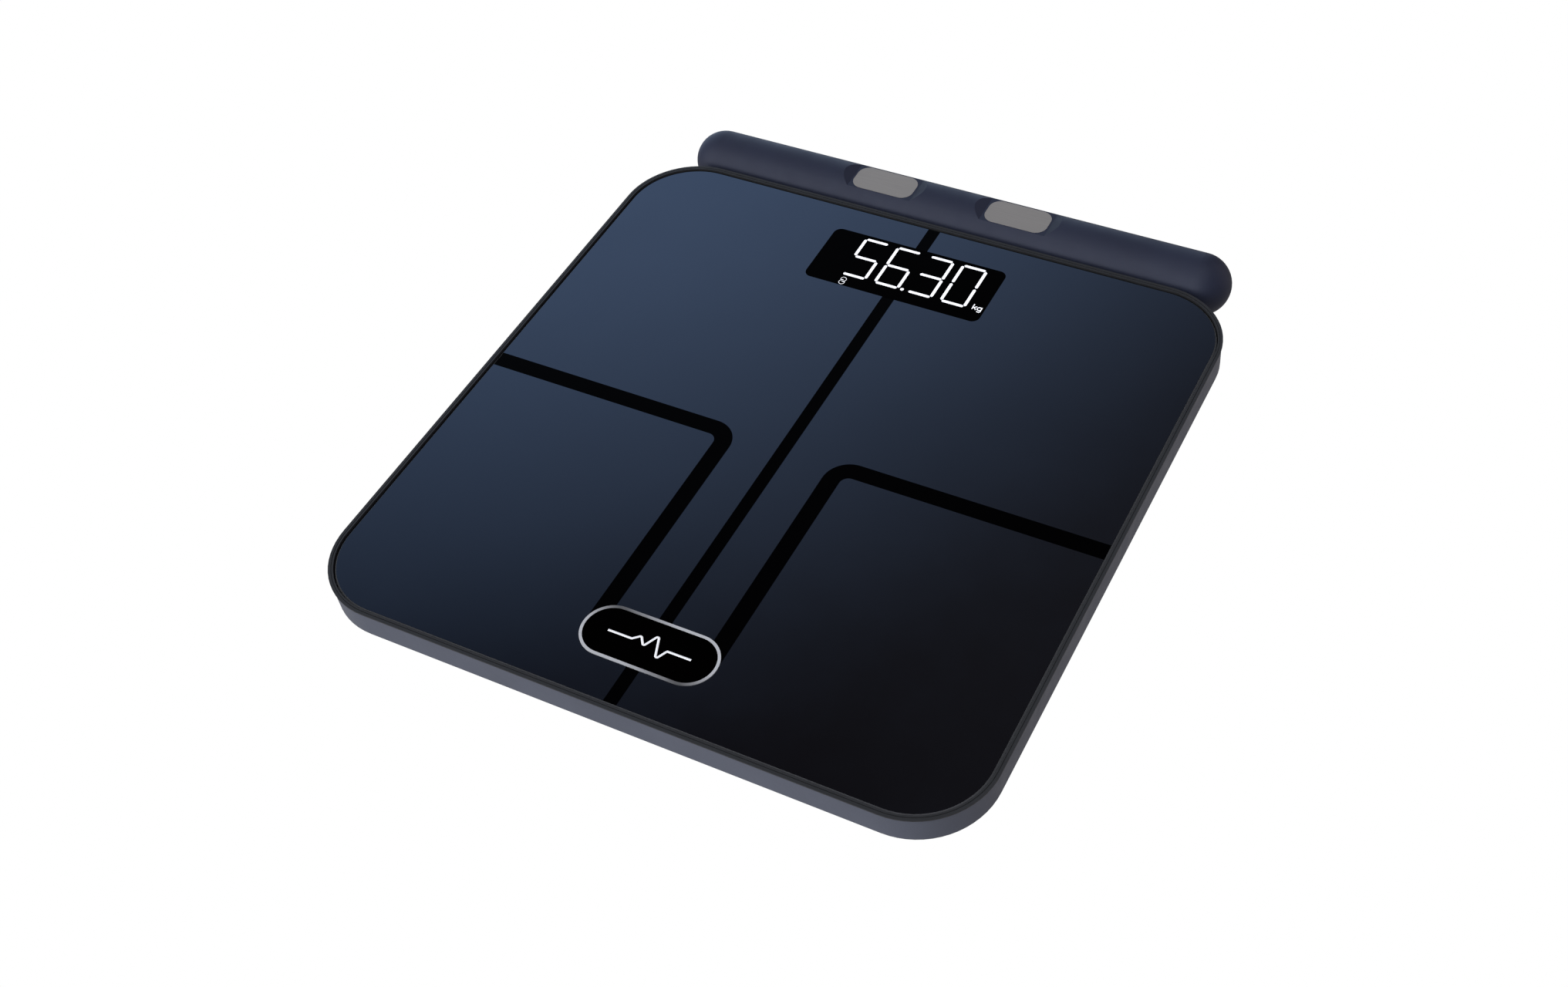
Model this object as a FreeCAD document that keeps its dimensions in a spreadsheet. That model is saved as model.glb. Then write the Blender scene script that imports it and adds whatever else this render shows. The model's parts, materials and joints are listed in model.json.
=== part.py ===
import FreeCAD, Part
import math
import os
import types
import Sketcher
from FreeCAD import Placement, Rotation, Vector

# Digital bathroom scale with a hand electrode bar docked behind its back edge.
# +X is right, +Y points back to the bar, +Z is up. The origin is under the middle, on the floor.
# Platform pieces are drawn about the platform's centre and placed at platform_y.

DIMENSIONS = {
    # platform outline and rim
    "platform_width": 300,
    "platform_depth": 300,
    "corner_radius": 34,
    "rim_top": 27,
    "flange_width": 2.2,
    "flange_height": 0.6,
    "skirt_inset": 1.3,
    "skirt_bottom": 21.2,
    "rim_groove_inset": 1.2,
    "rim_groove_width": 0.3,
    "rim_groove_depth": 0.3,
    # side shell
    "shell_inset": 0.45,
    "shell_bottom": 13,
    "shell_wall": 2.2,
    "shell_edge_round": 0.8,
    # glass and what is printed or laid on it
    "glass_inset": 2.6,
    "glass_top": 26.3,
    "glass_thickness": 5,
    "glass_bevel": 0.7,
    "film_inset": 3.35,
    "film_thickness": 0.1,
    "centre_bar_width": 6,
    "side_bar_width": 8,
    "side_bar_reach": 30.4,
    "bend_radius": 4,
    "badge_width": 61.2,
    "badge_depth": 24.9,
    "badge_y": -116.65,
    "badge_ring_width": 1.25,
    "badge_ring_height": 0.4,
    "badge_plate_height": 0.25,
    "badge_gap": 0.15,
    "display_width": 88,
    "display_depth": 35.3,
    "display_radius": 3.75,
    "display_y": 114.65,
    "display_film": 0.06,
    "digit_width": 13,
    "digit_height": 26.5,
    "digit_stroke": 1.7,
    "digit_pitch": 16.65,
    "digit_first_x": -21.4,
    "digit_y": 117.2,
    "digit_thickness": 0.06,
    "digit_tip_trim": 0.3,
    "mask_inset": 3,
    "mask_thickness": 0.2,
    "tape_inset": 4,
    "tape_width": 8,
    "tape_thickness": 0.8,
    # tray under the glass
    "tray_thickness": 2,
    "tray_rib_depth": 3,
    "tray_rib_width": 1.6,
    "tray_rib_x": 60,
    "tray_rib_length": 200,
    "module_width": 82,
    "module_depth": 31,
    "module_height": 5,
    "module_board_thickness": 1.2,
    # bottom cover
    "cover_bottom": 6,
    "cover_thickness": 2,
    "cover_low_inset": 12,
    "cover_top_inset": 0.75,
    "cover_low_hollow": 12.6,
    "cover_top_hollow": 4.5,
    "boss_radius": 4.6,
    "boss_top": 12,
    "screw_side_x": 125,
    "screw_end_x": 62,
    "screw_end_y": 125,
    "screw_head_radius": 2.6,
    "screw_head_height": 1.6,
    "screw_shank_radius": 1.4,
    "screw_bore_radius": 1.6,
    "screw_sink_radius": 3.1,
    "screw_sink_depth": 3,
    "screw_reach": 7,
    # feet and load cells
    "foot_offset": 112,
    "foot_radius": 17.6,
    "foot_hole_radius": 18.2,
    "foot_flange_radius": 20,
    "foot_flange_bottom": 8.4,
    "foot_flange_top": 9.6,
    "pad_radius": 16,
    "pad_height": 2,
    "pad_chamfer": 0.6,
    "pad_groove_radius": 12,
    "pad_groove_width": 1.2,
    "pad_groove_depth": 0.6,
    "cell_side": 34,
    "cell_corner": 3,
    "cell_bottom": 10.2,
    "cell_thickness": 1.6,
    "cell_slot_outer": 24,
    "cell_slot_width": 2,
    "cell_block": 12,
    "cell_block_height": 2.4,
    "cell_block_corner": 1,
    "bracket_side": 40,
    "bracket_opening": 30,
    # battery bay
    "bay_y": -72,
    "bay_width": 48,
    "bay_length": 55,
    "bay_wall": 1.5,
    "bay_top": 18,
    "door_gap": 0.4,
    "door_thickness": 1.4,
    "door_pin_radius": 0.55,
    "door_pin_hole_radius": 0.62,
    "door_pin_reach": 1.6,
    "grip_inset": 7.5,
    "grip_radius": 5,
    "grip_depth": 0.7,
    "cell_pitch": 10.6,
    "battery_radius": 5.2,
    "battery_length": 43.5,
    "battery_nub_radius": 1.9,
    "battery_nub_length": 1,
    "battery_axis": 13,
    "contact_thickness": 0.4,
    "contact_side": 8.6,
    "contact_spring_radius": 3,
    # unit button and main board
    "button_x": 62,
    "button_y": -84,
    "button_radius": 5,
    "button_hole_radius": 5.4,
    "button_face": 6.3,
    "button_flange_radius": 6.4,
    "button_flange_bottom": 8.3,
    "button_flange_top": 9.1,
    "button_post_radius": 1.4,
    "button_post_top": 10.7,
    "switch_side": 6,
    "switch_bottom": 10.4,
    "switch_hole_radius": 1.8,
    "switch_hole_depth": 1.6,
    "board_x": 62,
    "board_y": -60,
    "board_width": 52,
    "board_depth": 70,
    "board_bottom": 12.4,
    "board_thickness": 1.6,
    "board_corner": 1.5,
    "post_inset": 4,
    "post_radius": 2.6,
    "board_screw_radius": 1,
    "board_screw_head_radius": 2,
    "board_screw_head_height": 1.2,
    # cord reel
    "reel_x": -20,
    "reel_y": 78,
    "reel_case_radius": 29,
    "reel_case_wall": 2,
    "reel_floor": 1,
    "reel_case_height": 5.6,
    "reel_cover_height": 1,
    "drum_bottom": 9.2,
    "drum_flange_radius": 26,
    "drum_flange_height": 0.8,
    "drum_height": 4.2,
    "drum_core_radius": 20,
    "drum_hollow_radius": 16,
    "drum_web_height": 1,
    "drum_hub_radius": 5,
    "drum_hub_height": 2,
    "drum_bore_radius": 2.06,
    "axle_radius": 2,
    "spring_start_radius": 2.8,
    "spring_pitch": 1.6,
    "spring_strip": 0.3,
    "spring_turns": 7,
    "spring_bottom": 11.4,
    "spring_height": 1.8,
    "exit_slot_width": 5,
    "exit_slot_height": 2.6,
    "outlet_height": 17.5,
    "outlet_radius": 3,
    "outlet_flange_radius": 4.2,
    "outlet_flange_height": 0.7,
    "outlet_bore_radius": 1.6,
    # hand electrode bar
    "handle_radius": 14.4,
    "handle_length": 277,
    "handle_gap": 1,
    "handle_drop": 8.2,
    "handle_wall": 3.8,
    "facet_height": 11.9,
    "facet_length": 33,
    "recess_length": 43,
    "recess_margin": 0.1,
    "electrode_x": 34.5,
    "electrode_length": 31.2,
    "electrode_width": 15.4,
    "electrode_corner": 5.5,
    "electrode_thickness": 0.6,
    "electrode_seat": 0.5,
    "handle_screw_x": 110,
    "handle_boss_radius": 3.6,
    "handle_boss_length": 10.2,
    "handle_screw_radius": 1.1,
    "handle_screw_depth": 7,
    "handle_sink_radius": 2.4,
    "handle_sink_top": -9,
    "handle_head_radius": 2.2,
    "handle_head_height": 1.5,
    "handle_board_length": 84,
    "handle_board_width": 16,
    "handle_board_thickness": 1.2,
    "inlet_radius": 3,
    "inlet_bore_radius": 1.5,
    "inlet_depth": 3.4,
    "inlet_sink": 0.4,
    "magnet_x": 45,
    "magnet_radius": 2.6,
    "handle_magnet_length": 3,
    "handle_magnet_back": -5.2,
    "handle_magnet_z": -4,
    # dock cradle
    "cradle_length": 110,
    "cradle_bottom": 2.6,
    "cradle_front": 108,
    "cradle_lip": 5.5,
    "cradle_lip_height": 5,
    "cradle_clearance": 0.3,
    "cradle_hold_angle": 25,
    "cradle_shoulder": 4,
    "cradle_screw_x": 42,
    "cradle_screw_y": 115,
    "cradle_sink_depth": 1.8,
    "cradle_screw_reach": 5,
    "dock_magnet_back": 133.4,
    "dock_magnet_length": 4.8,
    "dock_magnet_z": 8,
}

CORNERS = {
    "front_left": (-1, -1),
    "front_right": (1, -1),
    "back_left": (-1, 1),
    "back_right": (1, 1),
}
SIDES = {"left": -1, "right": 1}

# The seven strokes of a digit: name, middle as a share of half the width and height, and direction.
STROKES = {
    "top": (0, 1, "across"),
    "upper_left": (-1, 0.5, "upright"),
    "upper_right": (1, 0.5, "upright"),
    "middle": (0, 0, "across"),
    "lower_left": (-1, -0.5, "upright"),
    "lower_right": (1, -0.5, "upright"),
    "bottom": (0, -1, "across"),
}
DIGITS = {
    "0": ("top", "upper_left", "upper_right", "lower_left", "lower_right", "bottom"),
    "3": ("top", "upper_right", "middle", "lower_right", "bottom"),
    "5": ("top", "upper_left", "middle", "lower_right", "bottom"),
    "6": ("top", "upper_left", "middle", "lower_left", "lower_right", "bottom"),
}
READING = "5630"
POINT_AFTER = 2

BATTERY_COUNT = 4

# A screw's cross recess as shares of the head's radius (length, width) and height (depth).
CROSS_LENGTH = 1.2
CROSS_WIDTH = 0.26
CROSS_DEPTH = 0.45

# Board components: width, depth, height, then x and y from the middle of the board.
BOARD_COMPONENTS = {
    "controller": (9, 9, 1.2, 4, 6),
    "radio_module": (13, 18, 2.2, -10, 14),
    "converter": (6, 5, 1, 10, -6),
    "front_socket": (12, 4, 3.6, 6, -28),
    "side_socket": (4, 12, 3.6, -21, -8),
}

NO_LENGTH = 1e-9
NO_VOLUME = 1e-4
LEVEL_TOLERANCE = 1e-4
MOST_LEFT_WHEN_HOLLOW = 0.9
THROUGH_ONE_WALL = 4

X_AXIS = Vector(1, 0, 0)
Z_AXIS = Vector(0, 0, 1)
LAID_BACK = Rotation(X_AXIS, -90)
LAID_FORWARD = Rotation(X_AXIS, 90)
UPSIDE_DOWN = Rotation(X_AXIS, 180)


class Size:
    """A length that knows its value and the sheet formula that gives it."""

    def __init__(self, value, formula=None):
        self.value = float(value)
        self.formula = formula if formula else repr(float(value))

    def __add__(self, other):
        other = as_size(other)
        return Size(self.value + other.value, f"({self.formula} + {other.formula})")

    def __sub__(self, other):
        other = as_size(other)
        return Size(self.value - other.value, f"({self.formula} - {other.formula})")

    def __mul__(self, other):
        other = as_size(other)
        return Size(self.value * other.value, f"({self.formula} * {other.formula})")

    def __truediv__(self, other):
        other = as_size(other)
        return Size(self.value / other.value, f"({self.formula} / {other.formula})")

    def __neg__(self):
        return self * -1

    __radd__ = __add__
    __rmul__ = __mul__

    def __rsub__(self, other):
        return as_size(other) - self


def as_size(value):
    return value if isinstance(value, Size) else Size(value)


doc = FreeCAD.newDocument("BathroomScale")
sheet = doc.addObject("Spreadsheet::Sheet", "Sizes")
for row, (alias, number) in enumerate(DIMENSIONS.items(), start=1):
    sheet.set(f"A{row}", alias)
    sheet.set(f"B{row}", str(number))
    sheet.setAlias(f"B{row}", alias)
doc.recompute()

sizes = {alias: Size(number, "Sizes." + alias) for alias, number in DIMENSIONS.items()}
S = types.SimpleNamespace(**sizes)
sub_parts = []

# Places and levels that follow from the sheet.
platform_y = -(2 * S.handle_radius + S.handle_gap) / 2
back_edge = platform_y + S.platform_depth / 2
handle_y = back_edge + S.handle_gap + S.handle_radius
handle_z = S.rim_top - S.handle_drop
flange_bottom = S.rim_top - S.flange_height
glass_bottom = S.glass_top - S.glass_thickness
mask_bottom = glass_bottom - S.mask_thickness
tape_bottom = mask_bottom - S.tape_thickness
tray_bottom = tape_bottom - S.tray_thickness
cover_floor = S.cover_bottom + S.cover_thickness
board_top = S.board_bottom + S.board_thickness


# ---- helpers that write to the document ----


def bind(thing, path, size):
    thing.setExpression(path, as_size(size).formula)


def place(part, x=0, y=0, z=0, turn=None):
    """Sets a sub-part's Placement, with its position bound to the sheet."""
    if turn:
        part.Placement = Placement(Vector(0, 0, 0), turn)
    for axis, size in zip("xyz", (x, y, z)):
        bind(part, f"Placement.Base.{axis}", size)
    return part


def keep(part, label):
    """Marks a document object as a finished sub-part and gives it its label."""
    part.Label = label
    sub_parts.append(part)
    return part


def new_body(name):
    return doc.addObject("PartDesign::Body", name)


def new_sketch(body, role="XY_Plane", level=0):
    """An empty sketch on one of the body's own planes, moved along the plane's normal by level."""
    sketch = body.newObject("Sketcher::SketchObject", body.Name + "_sketch")
    plane = next(item for item in body.Origin.OriginFeatures if item.Role == role)
    sketch.AttachmentSupport = (plane, [""])
    sketch.MapMode = "FlatFace"
    bind(sketch, "AttachmentOffset.Base.z", level)
    return sketch


def hold(sketch, kind, geometry, point, size):
    """Fixes one coordinate of a sketch point to a size measured from the sketch's origin."""
    size = as_size(size)
    if abs(size.value) < NO_LENGTH:
        axis = -2 if kind == "DistanceX" else -1
        sketch.addConstraint(Sketcher.Constraint("PointOnObject", geometry, point, axis))
        return
    index = sketch.addConstraint(Sketcher.Constraint(kind, -1, 1, geometry, point, size.value))
    bind(sketch, f"Constraints[{index}]", size)


def hold_radius(sketch, geometry, size):
    index = sketch.addConstraint(Sketcher.Constraint("Radius", geometry, as_size(size).value))
    bind(sketch, f"Constraints[{index}]", size)


def outline(sketch, corners):
    """A closed outline of level and upright lines. Each corner is (x, y) or (x, y, rounding radius)."""
    corners = [tuple(as_size(item) for item in (corner + (0,))[:3]) for corner in corners]
    count = len(corners)
    points = [Vector(x.value, y.value, 0) for x, y, _ in corners]
    before = []
    after = []
    for i, (_, _, radius) in enumerate(corners):
        towards_last = (points[i - 1] - points[i]).normalize()
        towards_next = (points[(i + 1) % count] - points[i]).normalize()
        before.append(points[i] + towards_last * radius.value)
        after.append(points[i] + towards_next * radius.value)
    lines = []
    for i in range(count):
        segment = Part.LineSegment(after[i], before[(i + 1) % count])
        lines.append(sketch.addGeometry(segment, False))
    for i, line in enumerate(lines):
        upright = abs(points[i].x - points[(i + 1) % count].x) < NO_LENGTH
        sketch.addConstraint(Sketcher.Constraint("Vertical" if upright else "Horizontal", line))
        if upright:
            hold(sketch, "DistanceX", line, 1, corners[i][0])
        else:
            hold(sketch, "DistanceY", line, 1, corners[i][1])
    for i, (_, _, radius) in enumerate(corners):
        last_line, next_line = lines[i - 1], lines[i]
        if radius.value == 0:
            sketch.addConstraint(Sketcher.Constraint("Coincident", last_line, 2, next_line, 1))
            continue
        centre = before[i] + after[i] - points[i]
        middle = centre + (points[i] - centre).normalize() * radius.value
        arc = Part.Arc(before[i], middle, after[i])
        arc_index = sketch.addGeometry(arc, False)
        first = sketch.getPoint(arc_index, 1)
        starts_before = first.distanceToPoint(before[i]) < first.distanceToPoint(after[i])
        near, far = (1, 2) if starts_before else (2, 1)
        sketch.addConstraint(Sketcher.Constraint("Tangent", last_line, 2, arc_index, near))
        sketch.addConstraint(Sketcher.Constraint("Tangent", arc_index, far, next_line, 1))
        hold_radius(sketch, arc_index, radius)
    return sketch


def rectangle(sketch, width, depth, radius=0, x=0, y=0):
    half_width = as_size(width) / 2
    half_depth = as_size(depth) / 2
    x, y = as_size(x), as_size(y)
    right, left = x + half_width, x - half_width
    back, front = y + half_depth, y - half_depth
    return outline(
        sketch,
        [(left, front, radius), (right, front, radius), (right, back, radius), (left, back, radius)],
    )


def platform_outline(sketch, inset):
    """The platform's rounded square, pulled in by inset."""
    inset = as_size(inset)
    return rectangle(
        sketch,
        S.platform_width - 2 * inset,
        S.platform_depth - 2 * inset,
        S.corner_radius - inset,
    )


def circles(sketch, places, radius):
    for x, y in places:
        x, y = as_size(x), as_size(y)
        circle = Part.Circle(Vector(x.value, y.value, 0), Z_AXIS, as_size(radius).value)
        index = sketch.addGeometry(circle, False)
        hold_radius(sketch, index, radius)
        hold(sketch, "DistanceX", index, 3, x)
        hold(sketch, "DistanceY", index, 3, y)
    return sketch


def polygon(sketch, corners):
    """A closed outline of straight lines at any slope, each corner held by its coordinates."""
    corners = [(as_size(x), as_size(y)) for x, y in corners]
    count = len(corners)
    lines = []
    for i, (x, y) in enumerate(corners):
        next_x, next_y = corners[(i + 1) % count]
        segment = Part.LineSegment(Vector(x.value, y.value, 0), Vector(next_x.value, next_y.value, 0))
        lines.append(sketch.addGeometry(segment, False))
    for i, line in enumerate(lines):
        sketch.addConstraint(Sketcher.Constraint("Coincident", line, 2, lines[(i + 1) % count], 1))
        hold(sketch, "DistanceX", line, 1, corners[i][0])
        hold(sketch, "DistanceY", line, 1, corners[i][1])
    return sketch


def pad(body, sketch, length, both_ways=False, downwards=False):
    feature = body.newObject("PartDesign::Pad", body.Name + "_pad")
    feature.Profile = sketch
    bind(feature, "Length", length)
    feature.SideType = "Symmetric" if both_ways else "One side"
    feature.Reversed = downwards
    sketch.Visibility = False
    return feature


def pocket(body, sketch, length=None, upwards=False, both_ways=False):
    """Cuts the sketch out of the body, right through it when no length is given."""
    doc.recompute()
    volume = body.Shape.Volume
    feature = body.newObject("PartDesign::Pocket", body.Name + "_pocket")
    feature.Profile = sketch
    if length is None:
        feature.Type = "ThroughAll"
    else:
        bind(feature, "Length", length)
    feature.SideType = "Symmetric" if both_ways or length is None else "One side"
    feature.Reversed = upwards
    doc.recompute()
    if body.Shape.Volume > volume - NO_VOLUME:
        raise RuntimeError(f"{feature.Name} cuts nothing")
    return feature


def revolve(body, sketch, axis="V_Axis", angle=360, symmetric=False):
    feature = body.newObject("PartDesign::Revolution", body.Name + "_revolution")
    feature.Profile = sketch
    feature.ReferenceAxis = (sketch, [axis])
    feature.Angle = angle
    feature.Midplane = symmetric
    return feature


def level_edges(feature, level):
    """Names of a feature's edges that lie at one height, in the body's own frame."""
    doc.recompute()
    names = []
    for index, edge in enumerate(feature.Shape.Edges, start=1):
        extent = edge.BoundBox
        if max(abs(extent.ZMin - level), abs(extent.ZMax - level)) < LEVEL_TOLERANCE:
            names.append(f"Edge{index}")
    return names


def chamfer(body, feature, edges, size):
    cut = body.newObject("PartDesign::Chamfer", body.Name + "_chamfer")
    cut.Base = (feature, edges)
    bind(cut, "Size", size)
    return cut


def fillet(body, feature, edges, radius):
    rounded = body.newObject("PartDesign::Fillet", body.Name + "_fillet")
    rounded.Base = (feature, edges)
    bind(rounded, "Radius", radius)
    return rounded


def revolved(label, corners, **position):
    """A body of revolution about Z. Its half profile is given as (radius, height) corners."""
    body = new_body(label)
    sketch = polygon(new_sketch(body, "XZ_Plane"), corners)
    revolve(body, sketch)
    return place(body, **position)


def box(name, width, depth, height, x=0, y=0, z=0):
    """A box centred on x and y that stands on z."""
    width, depth, height = as_size(width), as_size(depth), as_size(height)
    solid = doc.addObject("Part::Box", name)
    bind(solid, "Length", width)
    bind(solid, "Width", depth)
    bind(solid, "Height", height)
    return place(solid, as_size(x) - width / 2, as_size(y) - depth / 2, z)


def cylinder(name, radius, height, x=0, y=0, z=0, turn=None):
    solid = doc.addObject("Part::Cylinder", name)
    bind(solid, "Radius", radius)
    bind(solid, "Height", height)
    return place(solid, x, y, z, turn)


def joined(name, solids):
    """Several solids in one object: those that touch are fused, those apart stay apart."""
    group = doc.addObject("Part::MultiFuse", name)
    group.Shapes = solids
    return group


def cut_away(name, base, tool):
    result = doc.addObject("Part::Cut", name)
    result.Base = base
    result.Tool = tool
    return result


# ---- glass platform and what lies on it ----


def glass_platform():
    body = new_body("glass_platform")
    plate = pad(body, platform_outline(new_sketch(body), S.glass_inset), S.glass_thickness)
    chamfer(body, plate, level_edges(plate, S.glass_thickness.value), S.glass_bevel)
    keep(place(body, 0, platform_y, glass_bottom), "glass_platform")


def badge_outline(sketch, grow=0):
    """The badge's bar with half-round ends, grown outwards by grow."""
    half_length = (S.badge_width - S.badge_depth) / 2
    radius = S.badge_depth / 2 + as_size(grow)
    y = S.badge_y
    right_centre = Vector(half_length.value, y.value, 0)
    left_centre = Vector(-half_length.value, y.value, 0)
    up = Vector(0, radius.value, 0)
    out = Vector(radius.value, 0, 0)
    front = sketch.addGeometry(Part.LineSegment(left_centre - up, right_centre - up), False)
    right = sketch.addGeometry(Part.Arc(right_centre - up, right_centre + out, right_centre + up), False)
    back = sketch.addGeometry(Part.LineSegment(right_centre + up, left_centre + up), False)
    left = sketch.addGeometry(Part.Arc(left_centre + up, left_centre - out, left_centre - up), False)
    for first, second in ((front, right), (right, back), (back, left), (left, front)):
        sketch.addConstraint(Sketcher.Constraint("Tangent", first, 2, second, 1))
    hold(sketch, "DistanceX", right, 3, half_length)
    hold(sketch, "DistanceX", left, 3, -half_length)
    hold(sketch, "DistanceY", right, 3, y)
    hold(sketch, "DistanceY", left, 3, y)
    hold_radius(sketch, right, radius)
    return sketch


def window_outline(sketch):
    return rectangle(sketch, S.display_width, S.display_depth, S.display_radius, 0, S.display_y)


def electrode_film(corner, side, end):
    """One of the four conductive films. side is -1 on the left, end is -1 at the front."""
    label = f"electrode_{corner}"
    body = new_body(label)
    sketch = new_sketch(body)
    edge = side * (S.platform_width / 2 - S.film_inset)
    rounding = S.corner_radius - S.film_inset
    inner = side * S.centre_bar_width / 2
    if end < 0:
        near = -(S.platform_depth / 2 - S.film_inset)
        bar = side * S.side_bar_reach
        corners = [
            (inner, near),
            (inner, S.badge_y),
            (bar, S.badge_y),
            (bar, -S.side_bar_width, S.bend_radius),
            (edge, -S.side_bar_width),
            (edge, near, rounding),
        ]
    else:
        far = S.platform_depth / 2 - S.film_inset
        bar = side * (S.side_bar_reach - S.side_bar_width)
        corners = [
            (inner, far),
            (inner, S.badge_y),
            (bar, S.badge_y),
            (bar, 0, S.bend_radius + S.side_bar_width),
            (edge, 0),
            (edge, far, rounding),
        ]
    pad(body, outline(sketch, corners), S.film_thickness)
    pocket(body, badge_outline(new_sketch(body), S.badge_gap))
    if end > 0:
        pocket(body, window_outline(new_sketch(body)))
    keep(place(body, 0, platform_y, S.glass_top), label)


def badge():
    ring = new_body("badge_ring")
    pad(ring, badge_outline(new_sketch(ring)), S.badge_ring_height)
    pocket(ring, badge_outline(new_sketch(ring), -S.badge_ring_width))
    keep(place(ring, 0, platform_y, S.glass_top), "badge_ring")
    plate = new_body("badge_plate")
    pad(plate, badge_outline(new_sketch(plate), -S.badge_ring_width), S.badge_plate_height)
    keep(place(plate, 0, platform_y, S.glass_top), "badge_plate")


def display_window():
    body = new_body("display_window")
    pad(body, window_outline(new_sketch(body)), S.display_film)
    keep(place(body, 0, platform_y, S.glass_top), "display_window")


def stroke_solid(x, y, direction):
    """One lit stroke: a flat bar with slanted tips, centred on x and y."""
    half = S.digit_stroke.value / 2
    run = (S.digit_width.value - S.digit_stroke.value) / 2
    if direction == "upright":
        run = (S.digit_height.value - S.digit_stroke.value) / 4
    run -= S.digit_tip_trim.value
    flat = run - half
    corners = [(-run, 0), (-flat, -half), (flat, -half), (run, 0), (flat, half), (-flat, half)]
    if direction == "upright":
        corners = [(-b, a) for a, b in corners]
    points = [Vector(x + a, y + b, 0) for a, b in corners]
    face = Part.Face(Part.makePolygon(points + points[:1]))
    return face.extrude(Vector(0, 0, S.digit_thickness.value))


def display_segments():
    solids = []
    reach_x = (S.digit_width.value - S.digit_stroke.value) / 2
    reach_y = (S.digit_height.value - S.digit_stroke.value) / 2
    for place_number, digit in enumerate(READING):
        centre_x = S.digit_first_x.value + place_number * S.digit_pitch.value
        for stroke in DIGITS[digit]:
            share_x, share_y, direction = STROKES[stroke]
            x = centre_x + share_x * reach_x
            y = S.digit_y.value + share_y * reach_y
            solids.append(stroke_solid(x, y, direction))
    point_x = S.digit_first_x.value + (POINT_AFTER - 0.5) * S.digit_pitch.value
    point = Vector(point_x, S.digit_y.value - reach_y, 0)
    solids.append(Part.makeCylinder(S.digit_stroke.value / 2, S.digit_thickness.value, point))
    part = doc.addObject("Part::Feature", "display_segments")
    part.Shape = Part.makeCompound(solids)
    keep(place(part, 0, platform_y, S.glass_top + S.display_film), "display_segments")


def bezel_frame():
    """The rim round the glass: a skirt inside the shell and a thin flange with a fine groove on top."""
    body = new_body("bezel_frame")
    skirt_height = flange_bottom - S.skirt_bottom
    pad(body, platform_outline(new_sketch(body), S.skirt_inset), skirt_height)
    pad(body, platform_outline(new_sketch(body, level=skirt_height), 0), S.flange_height)
    pocket(body, platform_outline(new_sketch(body), S.flange_width))
    groove = new_sketch(body, level=skirt_height + S.flange_height)
    platform_outline(groove, S.rim_groove_inset)
    platform_outline(groove, S.rim_groove_inset + S.rim_groove_width)
    pocket(body, groove, S.rim_groove_depth)
    keep(place(body, 0, platform_y, S.skirt_bottom), "bezel_frame")


def glass_mask():
    body = new_body("glass_mask")
    pad(body, platform_outline(new_sketch(body), S.mask_inset), S.mask_thickness)
    window = rectangle(new_sketch(body), S.module_width, S.module_depth, 0, 0, S.display_y)
    pocket(body, window)
    keep(place(body, 0, platform_y, mask_bottom), "glass_mask")


def glass_tape():
    body = new_body("glass_tape")
    pad(body, platform_outline(new_sketch(body), S.tape_inset), S.tape_thickness)
    pocket(body, platform_outline(new_sketch(body), S.tape_inset + S.tape_width))
    keep(place(body, 0, platform_y, tape_bottom), "glass_tape")


# ---- housing ----

housing_screw_places = [(side * S.screw_side_x, 0) for side in SIDES.values()]
housing_screw_places += [(i * S.screw_end_x, j * S.screw_end_y) for i, j in CORNERS.values()]


def platform_tray():
    body = new_body("platform_tray")
    shell_inner = S.shell_inset + S.shell_wall
    pad(body, platform_outline(new_sketch(body), shell_inner), S.tray_thickness)
    boss_length = tray_bottom - S.boss_top
    bosses = circles(new_sketch(body), housing_screw_places, S.boss_radius)
    pad(body, bosses, boss_length, downwards=True)
    for side in SIDES.values():
        rib = new_sketch(body)
        rectangle(rib, S.tray_rib_width, S.tray_rib_length, 0, side * S.tray_rib_x, 0)
        pad(body, rib, S.tray_rib_depth, downwards=True)
    window = rectangle(new_sketch(body), S.module_width, S.module_depth, 0, 0, S.display_y)
    pocket(body, window)
    holes = circles(new_sketch(body, level=-boss_length), housing_screw_places, S.screw_shank_radius)
    hole_depth = S.cover_bottom + S.screw_sink_depth + S.screw_reach - S.boss_top
    pocket(body, holes, hole_depth, upwards=True)
    keep(place(body, 0, platform_y, tray_bottom), "platform_tray")


def side_shell():
    body = new_body("side_shell")
    height = flange_bottom - S.shell_bottom
    ring = pad(body, platform_outline(new_sketch(body), S.shell_inset), height)
    fillet(body, ring, level_edges(ring, 0), S.shell_edge_round)
    pocket(body, platform_outline(new_sketch(body), S.shell_inset + S.shell_wall))
    step = platform_outline(new_sketch(body, level=height), S.skirt_inset)
    pocket(body, step, flange_bottom - S.skirt_bottom)
    outlet = new_sketch(body, "XZ_Plane", -S.platform_depth / 2)
    circles(outlet, [(0, S.outlet_height - S.shell_bottom)], S.outlet_radius)
    pocket(body, outlet, S.shell_wall * THROUGH_ONE_WALL, both_ways=True)
    keep(place(body, 0, platform_y, S.shell_bottom), "side_shell")


foot_places = [(i * S.foot_offset, j * S.foot_offset) for i, j in CORNERS.values()]
post_x = S.board_width / 2 - S.post_inset
post_y = S.board_depth / 2 - S.post_inset
board_post_places = [(S.board_x + i * post_x, S.board_y + j * post_y) for i, j in CORNERS.values()]
hinge_y = S.bay_y + S.bay_length / 2 - S.door_gap - S.cover_thickness / 2
hinge_z = S.cover_bottom + S.cover_thickness / 2


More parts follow.
